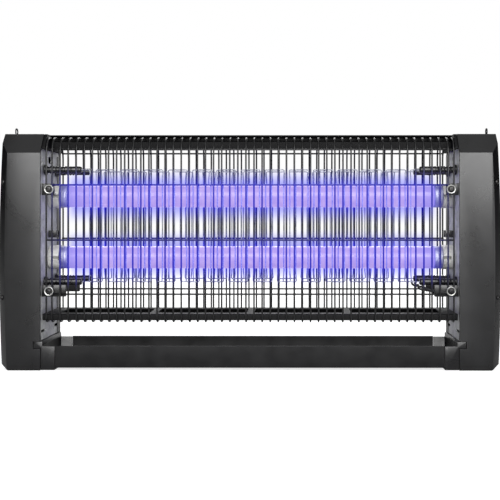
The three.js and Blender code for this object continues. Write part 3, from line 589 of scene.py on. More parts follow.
# %% Bent wire
def bent_wire(name, points, radius, bends, sides=10, steps=4):
    """A wire through a list of points in metres; radius and each corner's bend in millimetres."""
    points = [Vector(p) for p in points]
    heading = (points[1] - points[0]).normalized()
    piece = start(name, bpy.ops.mesh.primitive_circle_add, vertices=sides, radius=radius * MM,
                  fill_type="NOTHING", location=points[0],
                  rotation=heading.to_track_quat("Z", "Y").to_euler())
    edit(piece, "EDGE")
    select_everything()
    at = points[0]
    for corner, after, bend in zip(points[1:-1], points[2:], bends):
        leaving = (after - corner).normalized()
        turn = heading.angle(leaving)
        tangent = bend * MM * math.tan(turn / 2)
        begin = corner - heading * tangent
        extrude(begin - at)
        axis = heading.cross(leaving).normalized()
        centre = begin + axis.cross(heading) * bend * MM
        bpy.ops.mesh.spin(steps=max(2, round(steps * turn / (math.pi / 2))), angle=-turn,
                          center=centre, axis=axis)
        at = corner + leaving * tangent
        heading = leaving
    extrude(points[-1] - at)
    select_everything()
    bpy.ops.mesh.remove_doubles(threshold=1e-7)
    bpy.ops.mesh.fill_holes(sides=0)
    select_everything()
    bpy.ops.mesh.normals_make_consistent(inside=False)
    deselect_all()
    smooth(piece, 50)
    return piece


# %% [markdown]
# ## End housings
#
# Each end is closed by a moulded shell: tall and narrow, its outer side gently bowed, bevelled
# along its front and rear edges and cut back at the top. That form has only flat facets, all
# facing outwards, so a block is trimmed to it with one bisect for each facet, as one would plane
# a piece of wood. A smaller copy of the same form then hollows it, which gives an even wall.
# The part below the tray's groove is left solid. A thin lip of the rear wall laps over the side
# plate's edge, and is what shows as the dark line behind the plate.

# %% Housing sizes
HOUSING_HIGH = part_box("right_housing")[1]
CROWN = HOUSING_HIGH.x
DEEP = HOUSING_HIGH.y
TALL = HOUSING_HIGH.z
PLATE_LOW, PLATE_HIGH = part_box("right_side_plate")
MOUTH = PLATE_LOW.x - 0.6 * MM    # the housing's open inner edge
WALL = 2.5 * MM
ARC_RADIUS = 2500 * MM
ARC_HEIGHT = 118 * MM
ARC_STEPS = 12
EDGE_BEVEL = 8 * MM
TOP_CHAMFER_RUN = 16 * MM
TOP_CHAMFER_RISE = 22 * MM
CORNER_RUN = 9 * MM
CORNER_RISE = 6 * MM
GROOVE_BOTTOM = 24 * MM
GROOVE_TOP = 32 * MM
GROOVE_DEPTH = 8 * MM
LUG_LEVELS = {"upper": 13 * MM, "lower": 26 * MM}     # how far each lug reaches inwards
LUG_HALF_HEIGHT = 6.5 * MM
LUG_FRONT = 35.15 * MM
LUG_THICKNESS = 3.3 * MM
LUG_ROOT = 4 * MM
LIP_START = 31 * MM               # the rear wall's lip laps over the side plate from here back
print("housing:", round(CROWN - MOUTH, 4), "wide,", round(2 * DEEP, 4), "deep,", TALL, "high")


# %% Housing form
def bulge(z):
    """How far the outer side has curved in from its crown at height z."""
    return (z - ARC_HEIGHT) ** 2 / (2 * ARC_RADIUS)


def trim(place, normal, inset):
    """Planes off what lies beyond a plane, moved in by inset."""
    normal = Vector(normal).normalized()
    select_everything()
    bpy.ops.mesh.bisect(plane_co=Vector(place) - normal * inset, plane_no=normal,
                        use_fill=True, clear_outer=True, threshold=1e-6)


def housing_form(name, inset, bottom):
    """The right housing's form, moved in by inset except at its mouth, and cut off at bottom."""
    open_end = MOUTH - (1 * MM if inset else 0)
    form = block(name, (open_end, inset - DEEP, bottom), (CROWN, DEEP - inset, TALL - inset))
    edit(form)
    levels = [TALL * i / ARC_STEPS for i in range(ARC_STEPS + 1)]
    for z0, z1 in zip(levels, levels[1:]):
        low = Vector((CROWN - bulge(z0), 0, z0))
        high = Vector((CROWN - bulge(z1), 0, z1))
        side = Vector((high.z - low.z, 0, low.x - high.x)).normalized()
        trim(low, side, inset)
        for face in FACES.values():
            trim(low - side * EDGE_BEVEL + Vector((0, face * DEEP, 0)),
                 side + Vector((0, face, 0)), inset)
    for face in FACES.values():
        trim((0, face * (DEEP - TOP_CHAMFER_RUN), TALL),
             (0, face * TOP_CHAMFER_RISE, TOP_CHAMFER_RUN), inset)
    trim((CROWN - bulge(0) - CORNER_RUN, 0, 0), (CORNER_RISE, 0, -CORNER_RUN), inset)
    select_everything()
    bpy.ops.mesh.remove_doubles(threshold=0.005 * MM)
    deselect_all()
    return form


# %% Housing shell
def housing_shell(name):
    shell = housing_form(name, 0, 0)
    round_edges(shell, 1.1, segments=3, angle=14)
    combine(shell, housing_form("hollow", WALL, GROOVE_TOP + 2.5 * MM), "DIFFERENCE")
    groove = block("groove", (MOUTH - 1 * MM, -DEEP - 1 * MM, GROOVE_BOTTOM),
                   (MOUTH + GROOVE_DEPTH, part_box("tray_body")[1].y + 1 * MM, GROOVE_TOP))
    combine(shell, groove, "DIFFERENCE")
    slit = block("slit", (MOUTH - 1 * MM, WALL - DEEP, GROOVE_TOP - 0.1 * MM),
                 (PLATE_HIGH.x + 0.3 * MM, DEEP - WALL, GROOVE_TOP + 3 * MM))
    combine(shell, slit, "DIFFERENCE")
    for level, reach in LUG_LEVELS.items():
        z = middle(f"front_right_guard_screw_{level}").z
        for face in FACES.values():
            ys = sorted((face * LUG_FRONT, face * (LUG_FRONT - LUG_THICKNESS)))
            lug = block("lug", (MOUTH - reach, ys[0], z - LUG_HALF_HEIGHT),
                        (PLATE_HIGH.x + LUG_ROOT, ys[1], z + LUG_HALF_HEIGHT))
            round_edges(lug, 0.6)
            combine(shell, lug, "UNION")
            ys = sorted((face * (DEEP - WALL / 2), face * (LUG_FRONT - LUG_THICKNESS)))
            root = block("root", (PLATE_HIGH.x + 0.3 * MM, ys[0], z - LUG_HALF_HEIGHT + 0.5 * MM),
                         (PLATE_HIGH.x + LUG_ROOT, ys[1], z + LUG_HALF_HEIGHT - 0.5 * MM))
            combine(shell, root, "UNION")
    lip = block("lip", (MOUTH, LIP_START, GROOVE_TOP + 0.4 * MM),
                (PLATE_LOW.x - 0.05 * MM, DEEP - WALL / 2, TALL - TOP_CHAMFER_RISE))
    combine(shell, lip, "UNION")
    return shell


right_housing = housing_shell("right_housing_shell")
left_housing = mirrored_copy(right_housing, "left_housing_shell", "X")
print("housing shell:", len(right_housing.data.polygons), "faces")

# %% [markdown]
# ## The rear panel
#
# The right housing takes the mains inlet and the rocker switch in its rear wall. Each sits in a
# shallow pocket, with a square opening through the wall for its body.

# %% Rear panel openings
PANEL_CLEARANCE = 0.3 * MM
PANEL_DEPTH = 1.8 * MM           # from the rear face in to the pocket's floor
PANEL_CUT = 12 * MM               # how deep the opening goes past that floor
for fitting, flange in (("mains_inlet", 2.3 * MM), ("switch_body", 1.2 * MM)):
    low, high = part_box(fitting)
    spare = Vector((PANEL_CLEARANCE, 0, PANEL_CLEARANCE))
    pocket = block("pocket", low - spare, high + spare + Vector((0, 1 * MM, 0)))
    edit(pocket)
    select_faces(pocket, lambda place, normal: normal.y < -0.9)
    move((0, DEEP - PANEL_DEPTH - low.y, 0))
    bpy.ops.mesh.inset(thickness=flange)
    extrude((0, -PANEL_CUT, 0))
    deselect_all()
    combine(right_housing, pocket, "DIFFERENCE")

for side, shell in (("left", left_housing), ("right", right_housing)):
    smooth(shell)
    finish_piece(shell, moulded_abs, "housing_abs", "frame", f"{side}_housing")

# %% [markdown]
# ## Side plates
#
# The plates behind the lampholders are flat sheet with punched holes, and their CAD shape is
# already right. They stay as they are and only take their finish.

# %% Side plates
for side in SIDES:
    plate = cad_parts[f"{side}_side_plate"]
    plate.data.materials.clear()
    plate.data.materials.append(galvanised_sheet)

# %% [markdown]
# ## Folded sheet
#
# The top rail, the bottom plate and the tray are folded from 1.5 mm steel. Each starts as a flat
# plane, its free edges are extruded up or down as flanges, and the folds are rounded as a
# press brake leaves them. Solidify then gives the sheet its thickness on the inner side, so the
# outer faces stay where the frame has them.

# %% Folding helpers
SHEET = 1.5 * MM
FOLD_RADIUS = 2.0                 # millimetres, on the outside of a fold


def flat_sheet(name, x0, x1, y0, y1, z):
    centre = ((x0 + x1) / 2, (y0 + y1) / 2, z)
    sheet = start(name, bpy.ops.mesh.primitive_plane_add, size=1, location=centre)
    edit(sheet)
    select_everything()
    bpy.ops.transform.resize(value=(x1 - x0, y1 - y0, 1), center_override=centre)
    deselect_all()
    return sheet


def fold_edges(sheet, test, value):
    """In edit mode, extrudes the edges that pass the test by value, as a flange."""
    select_edges(sheet, test)
    extrude(value)


def at(axis, value, spare=0.05 * MM):
    """A test for edges that lie along a plane."""
    return lambda a, b: abs(a[axis] - value) < spare and abs(b[axis] - value) < spare


def give_thickness(sheet, inside, fold=FOLD_RADIUS):
    """Rounds the folds and thickens the sheet on the side where the point called inside lies."""
    edit(sheet)
    merge_and_face_out()
    deselect_all()
    round_edges(sheet, fold, segments=4, angle=40)
    facing = sum((Vector(inside) - f.center).dot(f.normal) * f.area for f in sheet.data.polygons)
    apply_modifier(sheet, "SOLIDIFY", thickness=SHEET, use_even_offset=True,
                   offset=1 if facing > 0 else -1)
    round_edges(sheet, 0.25, segments=1, angle=60)


# %% Tray body
TRAY_LOW, TRAY_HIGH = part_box("tray_body")
tray = flat_sheet("tray_pan", TRAY_LOW.x, TRAY_HIGH.x, TRAY_LOW.y, TRAY_HIGH.y, TRAY_LOW.z)
edit(tray, "EDGE")
fold_edges(tray, at(1, TRAY_LOW.y), (0, 0, TRAY_HIGH.z - TRAY_LOW.z))
fold_edges(tray, at(1, TRAY_HIGH.y), (0, 0, TRAY_HIGH.z - TRAY_LOW.z))
give_thickness(tray, (TRAY_LOW + TRAY_HIGH) / 2)
smooth(tray)
finish_piece(tray, powder_coated_sheet, "powder_coated_sheet", "tray", "tray_body")
print("tray pan:", [round(v, 4) for v in tray.dimensions])

# %% Bottom plate
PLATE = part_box("bottom_plate")
DROP_SLOTS = 4
SLOT_MARGIN = 16 * MM
SLOT_BRIDGE = 8 * MM
SLOT_HALF_WIDTH = 22 * MM
channel = flat_sheet("bottom_channel", PLATE[0].x, PLATE[1].x, PLATE[0].y, PLATE[1].y, PLATE[1].z)
edit(channel, "EDGE")
for y in (PLATE[0].y, PLATE[1].y):
    fold_edges(channel, at(1, y), (0, 0, PLATE[0].z - PLATE[1].z))
give_thickness(channel, (PLATE[0] + PLATE[1]) / 2)
slot_span = 2 * (PLATE[1].x - SLOT_MARGIN)
slot_pitch = (slot_span + SLOT_BRIDGE) / DROP_SLOTS
for i in range(DROP_SLOTS):
    slot_start = i * slot_pitch - slot_span / 2
    punch = block("punch", (slot_start, -SLOT_HALF_WIDTH, PLATE[1].z - 2 * SHEET),
                  (slot_start + slot_pitch - SLOT_BRIDGE, SLOT_HALF_WIDTH, PLATE[1].z + SHEET))
    edit(punch, "EDGE")
    select_edges(punch, lambda a, b: abs(a.z - b.z) > SHEET)
    bpy.ops.mesh.bevel(offset=3 * MM, segments=4, affect="EDGES")
    deselect_all()
    combine(channel, punch, "DIFFERENCE")
smooth(channel)
finish_piece(channel, matte_powder_coat, "powder_coated_sheet", "frame", "bottom_plate")

# %% [markdown]
# ## Top rail
#
# The rail is a narrow flat strip on top, so that the guards' hooks stand clear of its shade, with
# a folded hat section spot-welded beneath it: two webs go down, turn outwards and go down again.
# Its groove takes the hooked ends of the guard wires. A plate at each end, the gusset, closes the
# corner beside the housing's chamfer.

# %% Top rail
RAIL_LOW, RAIL_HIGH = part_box("top_rail")
STRIP_HALF = 13 * MM
GUSSET_TOP_HALF = DEEP - TOP_CHAMFER_RUN
NECK_HALF = 5 * MM
NECK_DROP = 6.7 * MM
BEAM_HALF = 11 * MM
BEAM_DROP = 15.5 * MM
GUSSET_DROP = 17.7 * MM
GUSSET_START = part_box("front_guard")[1].x + 0.3 * MM

rail = block("rail", (RAIL_LOW.x, -STRIP_HALF, TALL - SHEET), (RAIL_HIGH.x, STRIP_HALF, TALL))
round_edges(rail, 0.3)
webs = []
for face in FACES.values():
    web = flat_sheet("web", RAIL_LOW.x, RAIL_HIGH.x, *sorted((face * NECK_HALF, face * BEAM_HALF)),
                     TALL - NECK_DROP)
    edit(web, "EDGE")
    fold_edges(web, at(1, face * NECK_HALF), (0, 0, NECK_DROP - SHEET))
    fold_edges(web, at(1, face * BEAM_HALF), (0, 0, NECK_DROP - BEAM_DROP))
    deselect_all()
    give_thickness(web, (0, 0, RAIL_LOW.z), fold=1.6)
    webs.append(web)
gussets = []
for side in SIDES.values():
    xs = sorted((side * GUSSET_START, side * RAIL_HIGH.x))
    gusset = block("gusset", (xs[0], RAIL_LOW.y, TALL - GUSSET_DROP),
                   (xs[1], RAIL_HIGH.y, TALL - 0.05 * MM))
    edit(gusset)
    for face in FACES.values():
        trim((0, face * GUSSET_TOP_HALF, TALL - SHEET),
             (0, face * TOP_CHAMFER_RISE, TOP_CHAMFER_RUN), 0)
    deselect_all()
    round_edges(gusset, 0.4)
    gussets.append(gusset)
join(rail, webs + gussets)
smooth(rail)
finish_piece(rail, matte_powder_coat, "powder_coated_sheet", "frame", "top_rail")
print("rail:", [round(v, 4) for v in rail.dimensions])

# %% [markdown]
# ## Wire guards
#
# A guard is fifty-two upright wires welded to four cross wires. Each upright turns in under the
# bottom plate at its foot and hooks over into the rail's groove at its top. One is bent, and an
# array sets the rest in a row, which is also how the welding jig holds them.

# %% Guards
GUARD_LOW, GUARD_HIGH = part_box("front_guard")
WIRE = 0.95                       # radius of the wire, in millimetres
GUARD_Y = GUARD_LOW.y + WIRE * MM
FOOT_Z = GUARD_LOW.z + WIRE * MM
OUTER_WIRE_X = GUARD_HIGH.x - WIRE * MM
OUTER_WIRE_STEP = 6.3 * MM
GUARD_SPACES = 49
FOOT_LENGTH = 11 * MM
HOOK_START_DROP = 17 * MM
HOOK_TOP_DROP = 5 * MM
HOOK_END_DROP = 3.6 * MM
HOOK_STEP = 8 * MM
HOOK_END_Y = -8 * MM
CROSS_WIRE_Y = GUARD_Y + 1.6 * MM
CROSS_WIRE_LEVELS = [TALL - 18 * MM, TALL - 57.2 * MM, 143.5 * MM, 83.4 * MM]

even_x = OUTER_WIRE_X - OUTER_WIRE_STEP
guard_pitch = 2 * even_x / GUARD_SPACES
upright = bent_wire("front_wire_guard", [
    (-even_x, GUARD_Y + FOOT_LENGTH, FOOT_Z),
    (-even_x, GUARD_Y, FOOT_Z),
    (-even_x, GUARD_Y, TALL - HOOK_START_DROP),
    (-even_x, GUARD_Y + HOOK_STEP, TALL - HOOK_TOP_DROP),
    (-even_x, HOOK_END_Y, TALL - HOOK_END_DROP),
], WIRE, bends=(4.5, 26, 9), steps=6)
outer_wires = [moved_copy(upright, "outer", (-OUTER_WIRE_STEP, 0, 0)),
               moved_copy(upright, "outer", (even_x + OUTER_WIRE_X, 0, 0))]
apply_modifier(upright, "ARRAY", count=GUARD_SPACES + 1, use_relative_offset=False,
               use_constant_offset=True, constant_offset_displace=(guard_pitch, 0, 0))
cross_wires = [
    turned("cross_wire", "X", (GUARD_LOW.x, CROSS_WIRE_Y, z), [
        (WIRE * 0.8, 0), (WIRE, 0.2), (WIRE, (GUARD_HIGH.x - GUARD_LOW.x) / MM - 0.2),
        (WIRE * 0.8, (GUARD_HIGH.x - GUARD_LOW.x) / MM)], sides=12)
    for z in CROSS_WIRE_LEVELS]
front_guard = join(upright, outer_wires + cross_wires)
smooth(front_guard, 50)
rear_guard = mirrored_copy(front_guard, "rear_wire_guard", "Y")
for face, guard in (("front", front_guard), ("rear", rear_guard)):
    finish_piece(guard, coated_wire, "black_wire", "frame", f"{face}_guard")
print("guard:", len(front_guard.data.polygons), "faces")

# %% [markdown]
# ## Guard screws
#
# A pan-head screw with a cross recess holds each corner of the guards, on a dished ring washer
# whose raised rim catches the light. The washer is turned first and the head stands in its dish.
# The recess is cut by two thin crossed wedges.

# %% Guard screws
SCREW_SEAT = GUARD_Y - WIRE * MM - 0.3 * MM
WASHER = [(1.75, 0), (5.2, 0), (5.2, 0.5), (4.9, 0.95), (4.45, 1.2), (4.0, 1.05), (3.7, 0.7), (3.3, 0.6)]
HEAD = [(3.3, 0.6), (3.1, 0.7), (3.1, 2.4), (2.9, 3.1), (2.4, 3.55), (1.6, 3.8)]
SHANK_LENGTH = 6.6


def guard_screw(name, side, z):
    place = (side * middle("front_right_guard_screw_upper").x, SCREW_SEAT, z)
    screw = turned(name, (0, -1, 0), place, [(1.0, -SHANK_LENGTH), (1.65, 0.4 - SHANK_LENGTH)]
                   + WASHER + HEAD[1:], sides=40)
    for across in (AXES["X"], AXES["Z"]):
        tool = block("recess", (-0.38 * MM, -1.6 * MM, -2.0 * MM), (0.38 * MM, 1 * MM, 2.0 * MM))
        edit(tool)
        select_faces(tool, lambda place, normal: normal.y > 0.9)
        bpy.ops.transform.resize(value=(0.5, 1, 0.2), center_override=(0, 1 * MM, 0))
        select_everything()
        if across.x:
            bpy.ops.transform.rotate(value=math.pi / 2, orient_axis="Y", center_override=(0, 0, 0))
        head_top = SCREW_SEAT - HEAD[-1][1] * MM
        move((place[0], head_top + 0.6 * MM, z))
        deselect_all()
        combine(screw, tool, "DIFFERENCE")
    smooth(screw, 28)
    return screw


def darken_head(screw):
    """Gives the head, inside the washer's bright rim, its own darker finish."""
    screw.data.materials.append(black_oxide)
    axis = sum((v.co for v in screw.data.vertices), Vector()) / len(screw.data.vertices)
    for face in screw.data.polygons:
        off = math.hypot(face.center.x - axis.x, face.center.z - axis.z)
        face.material_index = 1 if off < 3.75 * MM else 0


for level in LEVELS:
    z = middle(f"front_right_guard_screw_{level}").z
    right = guard_screw(f"front_right_screw_{level}", 1, z)
    for corner, screw in corner_copies(right, "screw", level).items():
        finish_piece(screw, zinc_plate, "zinc_screw", "frame", f"{corner}_guard_screw_{level}")
        darken_head(screw)
print("guard screw:", len(right.data.polygons), "faces")

# %% [markdown]
# ## Electrodes
#
# Two wires stand in each face of the cage, one live and one earthed, each bent to and fro so that
# its bars fall between the other's. Each hairpin draws in a little at its ends, so the bars lean
# towards each other over the last centimetre before the round turn.

# %% Electrodes
ELECTRODE_WIRE = 0.6              # radius, in millimetres
ELECTRODE_BARS = 27
LEAN_HEIGHT = 9 * MM
LEAN = 0.7 * MM
ARM_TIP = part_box("front_right_insulator_upper")[0].x
BAR_MARGIN = 9.3 * MM
electrode_pitch = 2 * (ARM_TIP - BAR_MARGIN) / (ELECTRODE_BARS - 0.5)


def electrode(name, node, first_x, starts_high):
    low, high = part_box(node)
    y = (low.y + high.y) / 2
    bottom, top = low.z + ELECTRODE_WIRE * MM, high.z - ELECTRODE_WIRE * MM
    points = [(low.x, y, top if starts_high else bottom)]
    for i in range(ELECTRODE_BARS):
        x = first_x + i * electrode_pitch
        down = starts_high == (i % 2 == 0)
        ends = [(top, -1), (bottom, 1)] if down else [(bottom, 1), (top, -1)]
        (z0, inward0), (z1, inward1) = ends
        points += [(x + LEAN, y, z0), (x, y, z0 + inward0 * LEAN_HEIGHT),
                   (x, y, z1 + inward1 * LEAN_HEIGHT), (x - LEAN, y, z1)]
    points.append((high.x, y, top if starts_high == (ELECTRODE_BARS % 2 == 0) else bottom))
    return bent_wire(name, points, ELECTRODE_WIRE, [1.6] * len(points), sides=8, steps=3)


for kind, offset, starts_high in (("live", 0, True), ("earth", 0.5, False)):
    first = BAR_MARGIN - ARM_TIP + offset * electrode_pitch
    front = electrode(f"front_{kind}_wire", f"front_{kind}_electrode", first, starts_high)
    rear = mirrored_copy(front, f"rear_{kind}_wire", "Y")
    for face, wire in (("front", front), ("rear", rear)):
        finish_piece(wire, electrode_steel, "electrode_steel", "frame", f"{face}_{kind}_electrode")
print("electrode:", len(front.data.polygons), "faces")

# %% [markdown]
# ## Insulator arms
#
# The electrodes hang on black nylon arms with ribs round them. The ribs lengthen the path that a
# stray current would have to creep along. The arm is turned in one go: a flange against the side
# plate, rib after rib, and a tapered nose with a socket for the wire.

# %% Insulators
ARM_FLANGE_RADIUS = 6.0
ARM_RADIUS = 4.4
ARM_WAIST = 3.5
RIBS = 6
RIB_PITCH = 3.4
FIRST_RIB = 5.0
ARM_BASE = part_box("front_right_insulator_upper")[1].x
ARM_LENGTH = (ARM_BASE - ARM_TIP) / MM


def insulator(name, node):
    centre = middle(node)
    y = -(DEEP - 20 * MM)
    outline = [(5.2, 0), (ARM_FLANGE_RADIUS, 0.5), (ARM_FLANGE_RADIUS, 2.4), (5.4, 3.0),
               (ARM_WAIST + 0.5, 3.2)]
    for i in range(RIBS):
        begin = FIRST_RIB + i * RIB_PITCH
        outline += [(ARM_WAIST, begin), (ARM_WAIST, begin + 1.2), (ARM_RADIUS - 0.2, begin + 1.5),
                    (ARM_RADIUS, begin + 1.9), (ARM_RADIUS - 0.2, begin + 2.5)]
    nose = FIRST_RIB + RIBS * RIB_PITCH
    outline += [(ARM_RADIUS - 0.5, nose + 1), (ARM_RADIUS - 0.4, ARM_LENGTH - 3), (3.6, ARM_LENGTH - 0.6),
                (3.0, ARM_LENGTH), (1.3, ARM_LENGTH), (1.2, ARM_LENGTH - 3)]
    arm = turned(name, (-1, 0, 0), (ARM_BASE, y, centre.z), outline, sides=28)
    smooth(arm, 40)
    return arm


for level in LEVELS:
    right = insulator(f"front_right_arm_{level}", f"front_right_insulator_{level}")
    for corner, arm in corner_copies(right, "arm", level).items():
        finish_piece(arm, insulator_nylon, "insulator_nylon", "frame", f"{corner}_insulator_{level}")
print("insulator:", len(right.data.polygons), "faces")

# %% [markdown]
# ## High-voltage leads
#
# A silicone lead runs from the generator in the right housing, through a hole in the side plate,
# to each live electrode. It is held at both ends and never moves, so it is simply a round wire
# swept along its route, drawn as a curve and then turned into a mesh.

# %% Leads
LEAD_RADIUS = 1.25
PLATE_FACE = PLATE_LOW.x
HOLE_Y = 14 * MM
HOLE_Z = 84 * MM
LIVE_Y = -middle("front_live_electrode").y
LOWER_ARM_Z = middle("front_right_insulator_lower").z


def from_hole(x, y, z):
    return Vector((PLATE_FACE + x * MM, y * MM - HOLE_Y, z * MM + HOLE_Z))


def from_tip(x, y, z):
    return Vector((ARM_TIP + x * MM, y * MM - LIVE_Y, z * MM + LOWER_ARM_Z))


LEAD_ROUTE = [
    from_hole(8.4, 4, 45.4), from_hole(9.4, 3, 32), from_hole(9.4, 1, 13), from_hole(8.4, 0, 4),
    from_hole(4.9, 0, 0.4), from_hole(0.7, 0, 0), from_hole(-4.6, -0.5, -0.5),
    from_hole(-12.6, -3, -2), from_tip(20.5, 6.5, -14), from_tip(12.5, 3, -10.5),
    from_tip(5.5, 0.5, -9), from_tip(-0.5, 0, -7.2), from_tip(-2.3, 0, -2.3)]

line = bpy.data.curves.new("front_lead", "CURVE")
line.dimensions = "3D"
line.bevel_depth = LEAD_RADIUS * MM
line.bevel_resolution = 4
line.use_fill_caps = True
line.resolution_u = 6
route = line.splines.new("BEZIER")
route.bezier_points.add(len(LEAD_ROUTE) - 1)
for point, place in zip(route.bezier_points, LEAD_ROUTE):
    point.co = place
    point.handle_left_type = point.handle_right_type = "AUTO"
front_lead = bpy.data.objects.new("front_lead", line)
bpy.context.scene.collection.objects.link(front_lead)
take(front_lead)
bpy.ops.object.convert(target="MESH")
edit(front_lead)
merge_and_face_out()
deselect_all()
smooth(front_lead, 50)
rear_lead = mirrored_copy(front_lead, "rear_lead", "Y")
for face, lead in (("front", front_lead), ("rear", rear_lead)):
    finish_piece(lead, lead_silicone, "lead_silicone", "frame", f"{face}_hv_lead")

# %% [markdown]
# ## Lamps
#
# A lamp is a glass tube with an aluminium cap crimped on each end, and two brass pins in each
# cap. The glass draws in a little where it enters the cap, and the cap's rim is rolled over it.

# %% Lamps
GLASS_END = TUBE_END / MM
GLASS = TUBE_RADIUS / MM
CAP_LOW, CAP_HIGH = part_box("upper_lamp_cap_right")
CAP_LENGTH = 9.4
PIN_RADIUS = 1.2
PIN_LENGTH = (CAP_HIGH.x - CAP_LOW.x) / MM - CAP_LENGTH
PIN_SPACING = 12.7


def lamp_cap(name, z):
    """The right-hand cap: a rolled rim, a plain skirt with two crimped beads, and the pins."""
    outline = [(12.3, 0.2), (12.75, 0), (13.0, 0.35), (12.95, 0.9), (12.8, 1.2), (12.8, 2.6), (12.95, 2.9),
               (12.95, 3.3), (12.8, 3.6), (12.8, 8.5), (12.6, 9.1), (12.2, CAP_LENGTH),
               (8.6, CAP_LENGTH), (8.4, 9.15), (7.9, 9.15)]
    cap = turned(name, "X", (CAP_LOW.x, 0, z), outline, sides=48)
    pins = [turned("pin", "X", (CAP_LOW.x, 0, z + up * PIN_SPACING / 2 * MM),
                   [(PIN_RADIUS, CAP_LENGTH - 1), (PIN_RADIUS, CAP_LENGTH + PIN_LENGTH - 0.6),
                    (PIN_RADIUS * 0.85, CAP_LENGTH + PIN_LENGTH - 0.2),
                    (PIN_RADIUS * 0.45, CAP_LENGTH + PIN_LENGTH)], sides=20) for up in (-1, 1)]
    join(cap, pins)
    smooth(cap)
    return cap


for level in LEVELS:
    z = middle(f"{level}_lamp_glass").z
    tube = turned(f"{level}_tube", "X", (0, 0, z), [
        (11.0, -GLASS_END), (12.1, 0.3 - GLASS_END), (12.55, 1.4 - GLASS_END), (GLASS, 3.2 - GLASS_END),
        (GLASS, 0), (GLASS, GLASS_END - 3.2), (12.55, GLASS_END - 1.4), (12.1, GLASS_END - 0.3),
        (11.0, GLASS_END)], sides=64)
    smooth(tube, 40)
    finish_piece(tube, phosphor_glass, "lamp_glass", f"{level}_lamp", f"{level}_lamp_glass")
    right = lamp_cap(f"{level}_cap_right", z)
    left = mirrored_copy(right, f"{level}_cap_left", "X")
    for side, cap in (("right", right), ("left", left)):
        finish_piece(cap, cap_aluminium, "lamp_cap_aluminium", f"{level}_lamp", f"{level}_lamp_cap_{side}")
print("lamp cap:", len(right.data.polygons), "faces")

# %% [markdown]
# ## Mouldings taken over from the frame
#
# Lampholders, rotors, clips, tray ends, the panel fittings and the two modules already have the
# right form in the frame, but with edges as sharp as a drawing's. A copy of each is merged into
# whole faces, its edges are rounded as a mould leaves them, and it stands for its node.

# %% Rounded copies
def rounded_copy(name, node, width, segments=2):
    """A merged copy of a CAD node with its edges rounded by width millimetres."""
    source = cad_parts[node]
    piece = bpy.data.objects.new(name, source.data.copy())
    piece.data.name = name
    bpy.context.scene.collection.objects.link(piece)
    edit(piece)
    select_everything()
    bpy.ops.mesh.remove_doubles(threshold=1e-6)
    bpy.ops.mesh.dissolve_limited(angle_limit=math.radians(0.5))
    bpy.ops.mesh.customdata_custom_splitnormals_clear()
    deselect_all()
    if width:
        round_edges(piece, width, segments, angle=35)
    smooth(piece, 35)
    return piece


for level in LEVELS:
    for side in SIDES:
        holder = rounded_copy(f"{level}_holder_{side}", f"{level}_lamp_holder_{side}", 0.5)
        finish_piece(holder, white_pbt, "holder_pbt", "frame", f"{level}_lamp_holder_{side}")
        turner = rounded_copy(f"{level}_turner_{side}", f"{level}_rotor_{side}", 0.2)
        finish_piece(turner, white_pbt, "holder_pbt", f"{level}_lamp", f"{level}_rotor_{side}")
for side in SIDES:
    clip = rounded_copy(f"{side}_clip", f"{side}_wire_clip", 0.5)
    finish_piece(clip, insulator_nylon, "housing_abs", "frame", f"{side}_wire_clip")
    end = rounded_copy(f"{side}_tray_end", f"{side}_tray_end_cap", 0.5)
    finish_piece(end, moulded_abs, "housing_abs", "tray", f"{side}_tray_end_cap")
for name, node, width, material, slot, body in (
        ("ballast_case", "lamp_ballast", 1.5, module_casing, "module_casing", "frame"),
        ("generator_case", "hv_generator", 1.5, module_casing, "module_casing", "frame"),
        ("inlet", "mains_inlet", 0.25, fitting_nylon, "fitting_plastic", "frame"),
        ("switch_frame", "switch_body", 0.25, fitting_nylon, "fitting_plastic", "frame"),
        ("switch_key", "switch_rocker", 0.3, fitting_nylon, "fitting_plastic", "rocker")):
    finish_piece(rounded_copy(name, node, width), material, slot, body, node)

# %% [markdown]
# ## Hanging eyes and cover screws
#
# The eyes are bent from thin wire and screwed in from above, with a small collar under the ring.
# The cover screws sit square on the front bevels, so they are turned about an axis that leans
# halfway between the front and the side.

# %% Hanging eyes
EYE_LOW, EYE_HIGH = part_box("right_hanging_eye")
EYE_WIRE = 0.75
EYE_RADIUS = 3.75
eye_x = middle("right_hanging_eye").x
ring_z = EYE_HIGH.z - (EYE_RADIUS + EYE_WIRE) * MM
right_eye = start("right_eye", bpy.ops.mesh.primitive_torus_add, location=(eye_x, 0, ring_z),
                  rotation=(0, math.pi / 2, 0), major_radius=EYE_RADIUS * MM,
                  minor_radius=EYE_WIRE * MM, major_segments=40, minor_segments=12)
stem = turned("stem", "Z", (eye_x, 0, EYE_LOW.z), [
    (0.5, 0), (1.2, 1.2), (1.2, 6.6), (1.3, 6.7), (1.3, (ring_z - EYE_LOW.z) / MM - EYE_RADIUS - 0.35),
    (0.9, (ring_z - EYE_LOW.z) / MM - EYE_RADIUS + 0.3)], sides=20)
join(right_eye, [stem])
smooth(right_eye, 40)
left_eye = mirrored_copy(right_eye, "left_eye", "X")
for side, eye in (("right", right_eye), ("left", left_eye)):
    finish_piece(eye, coated_wire, "black_wire", "frame", f"{side}_hanging_eye")

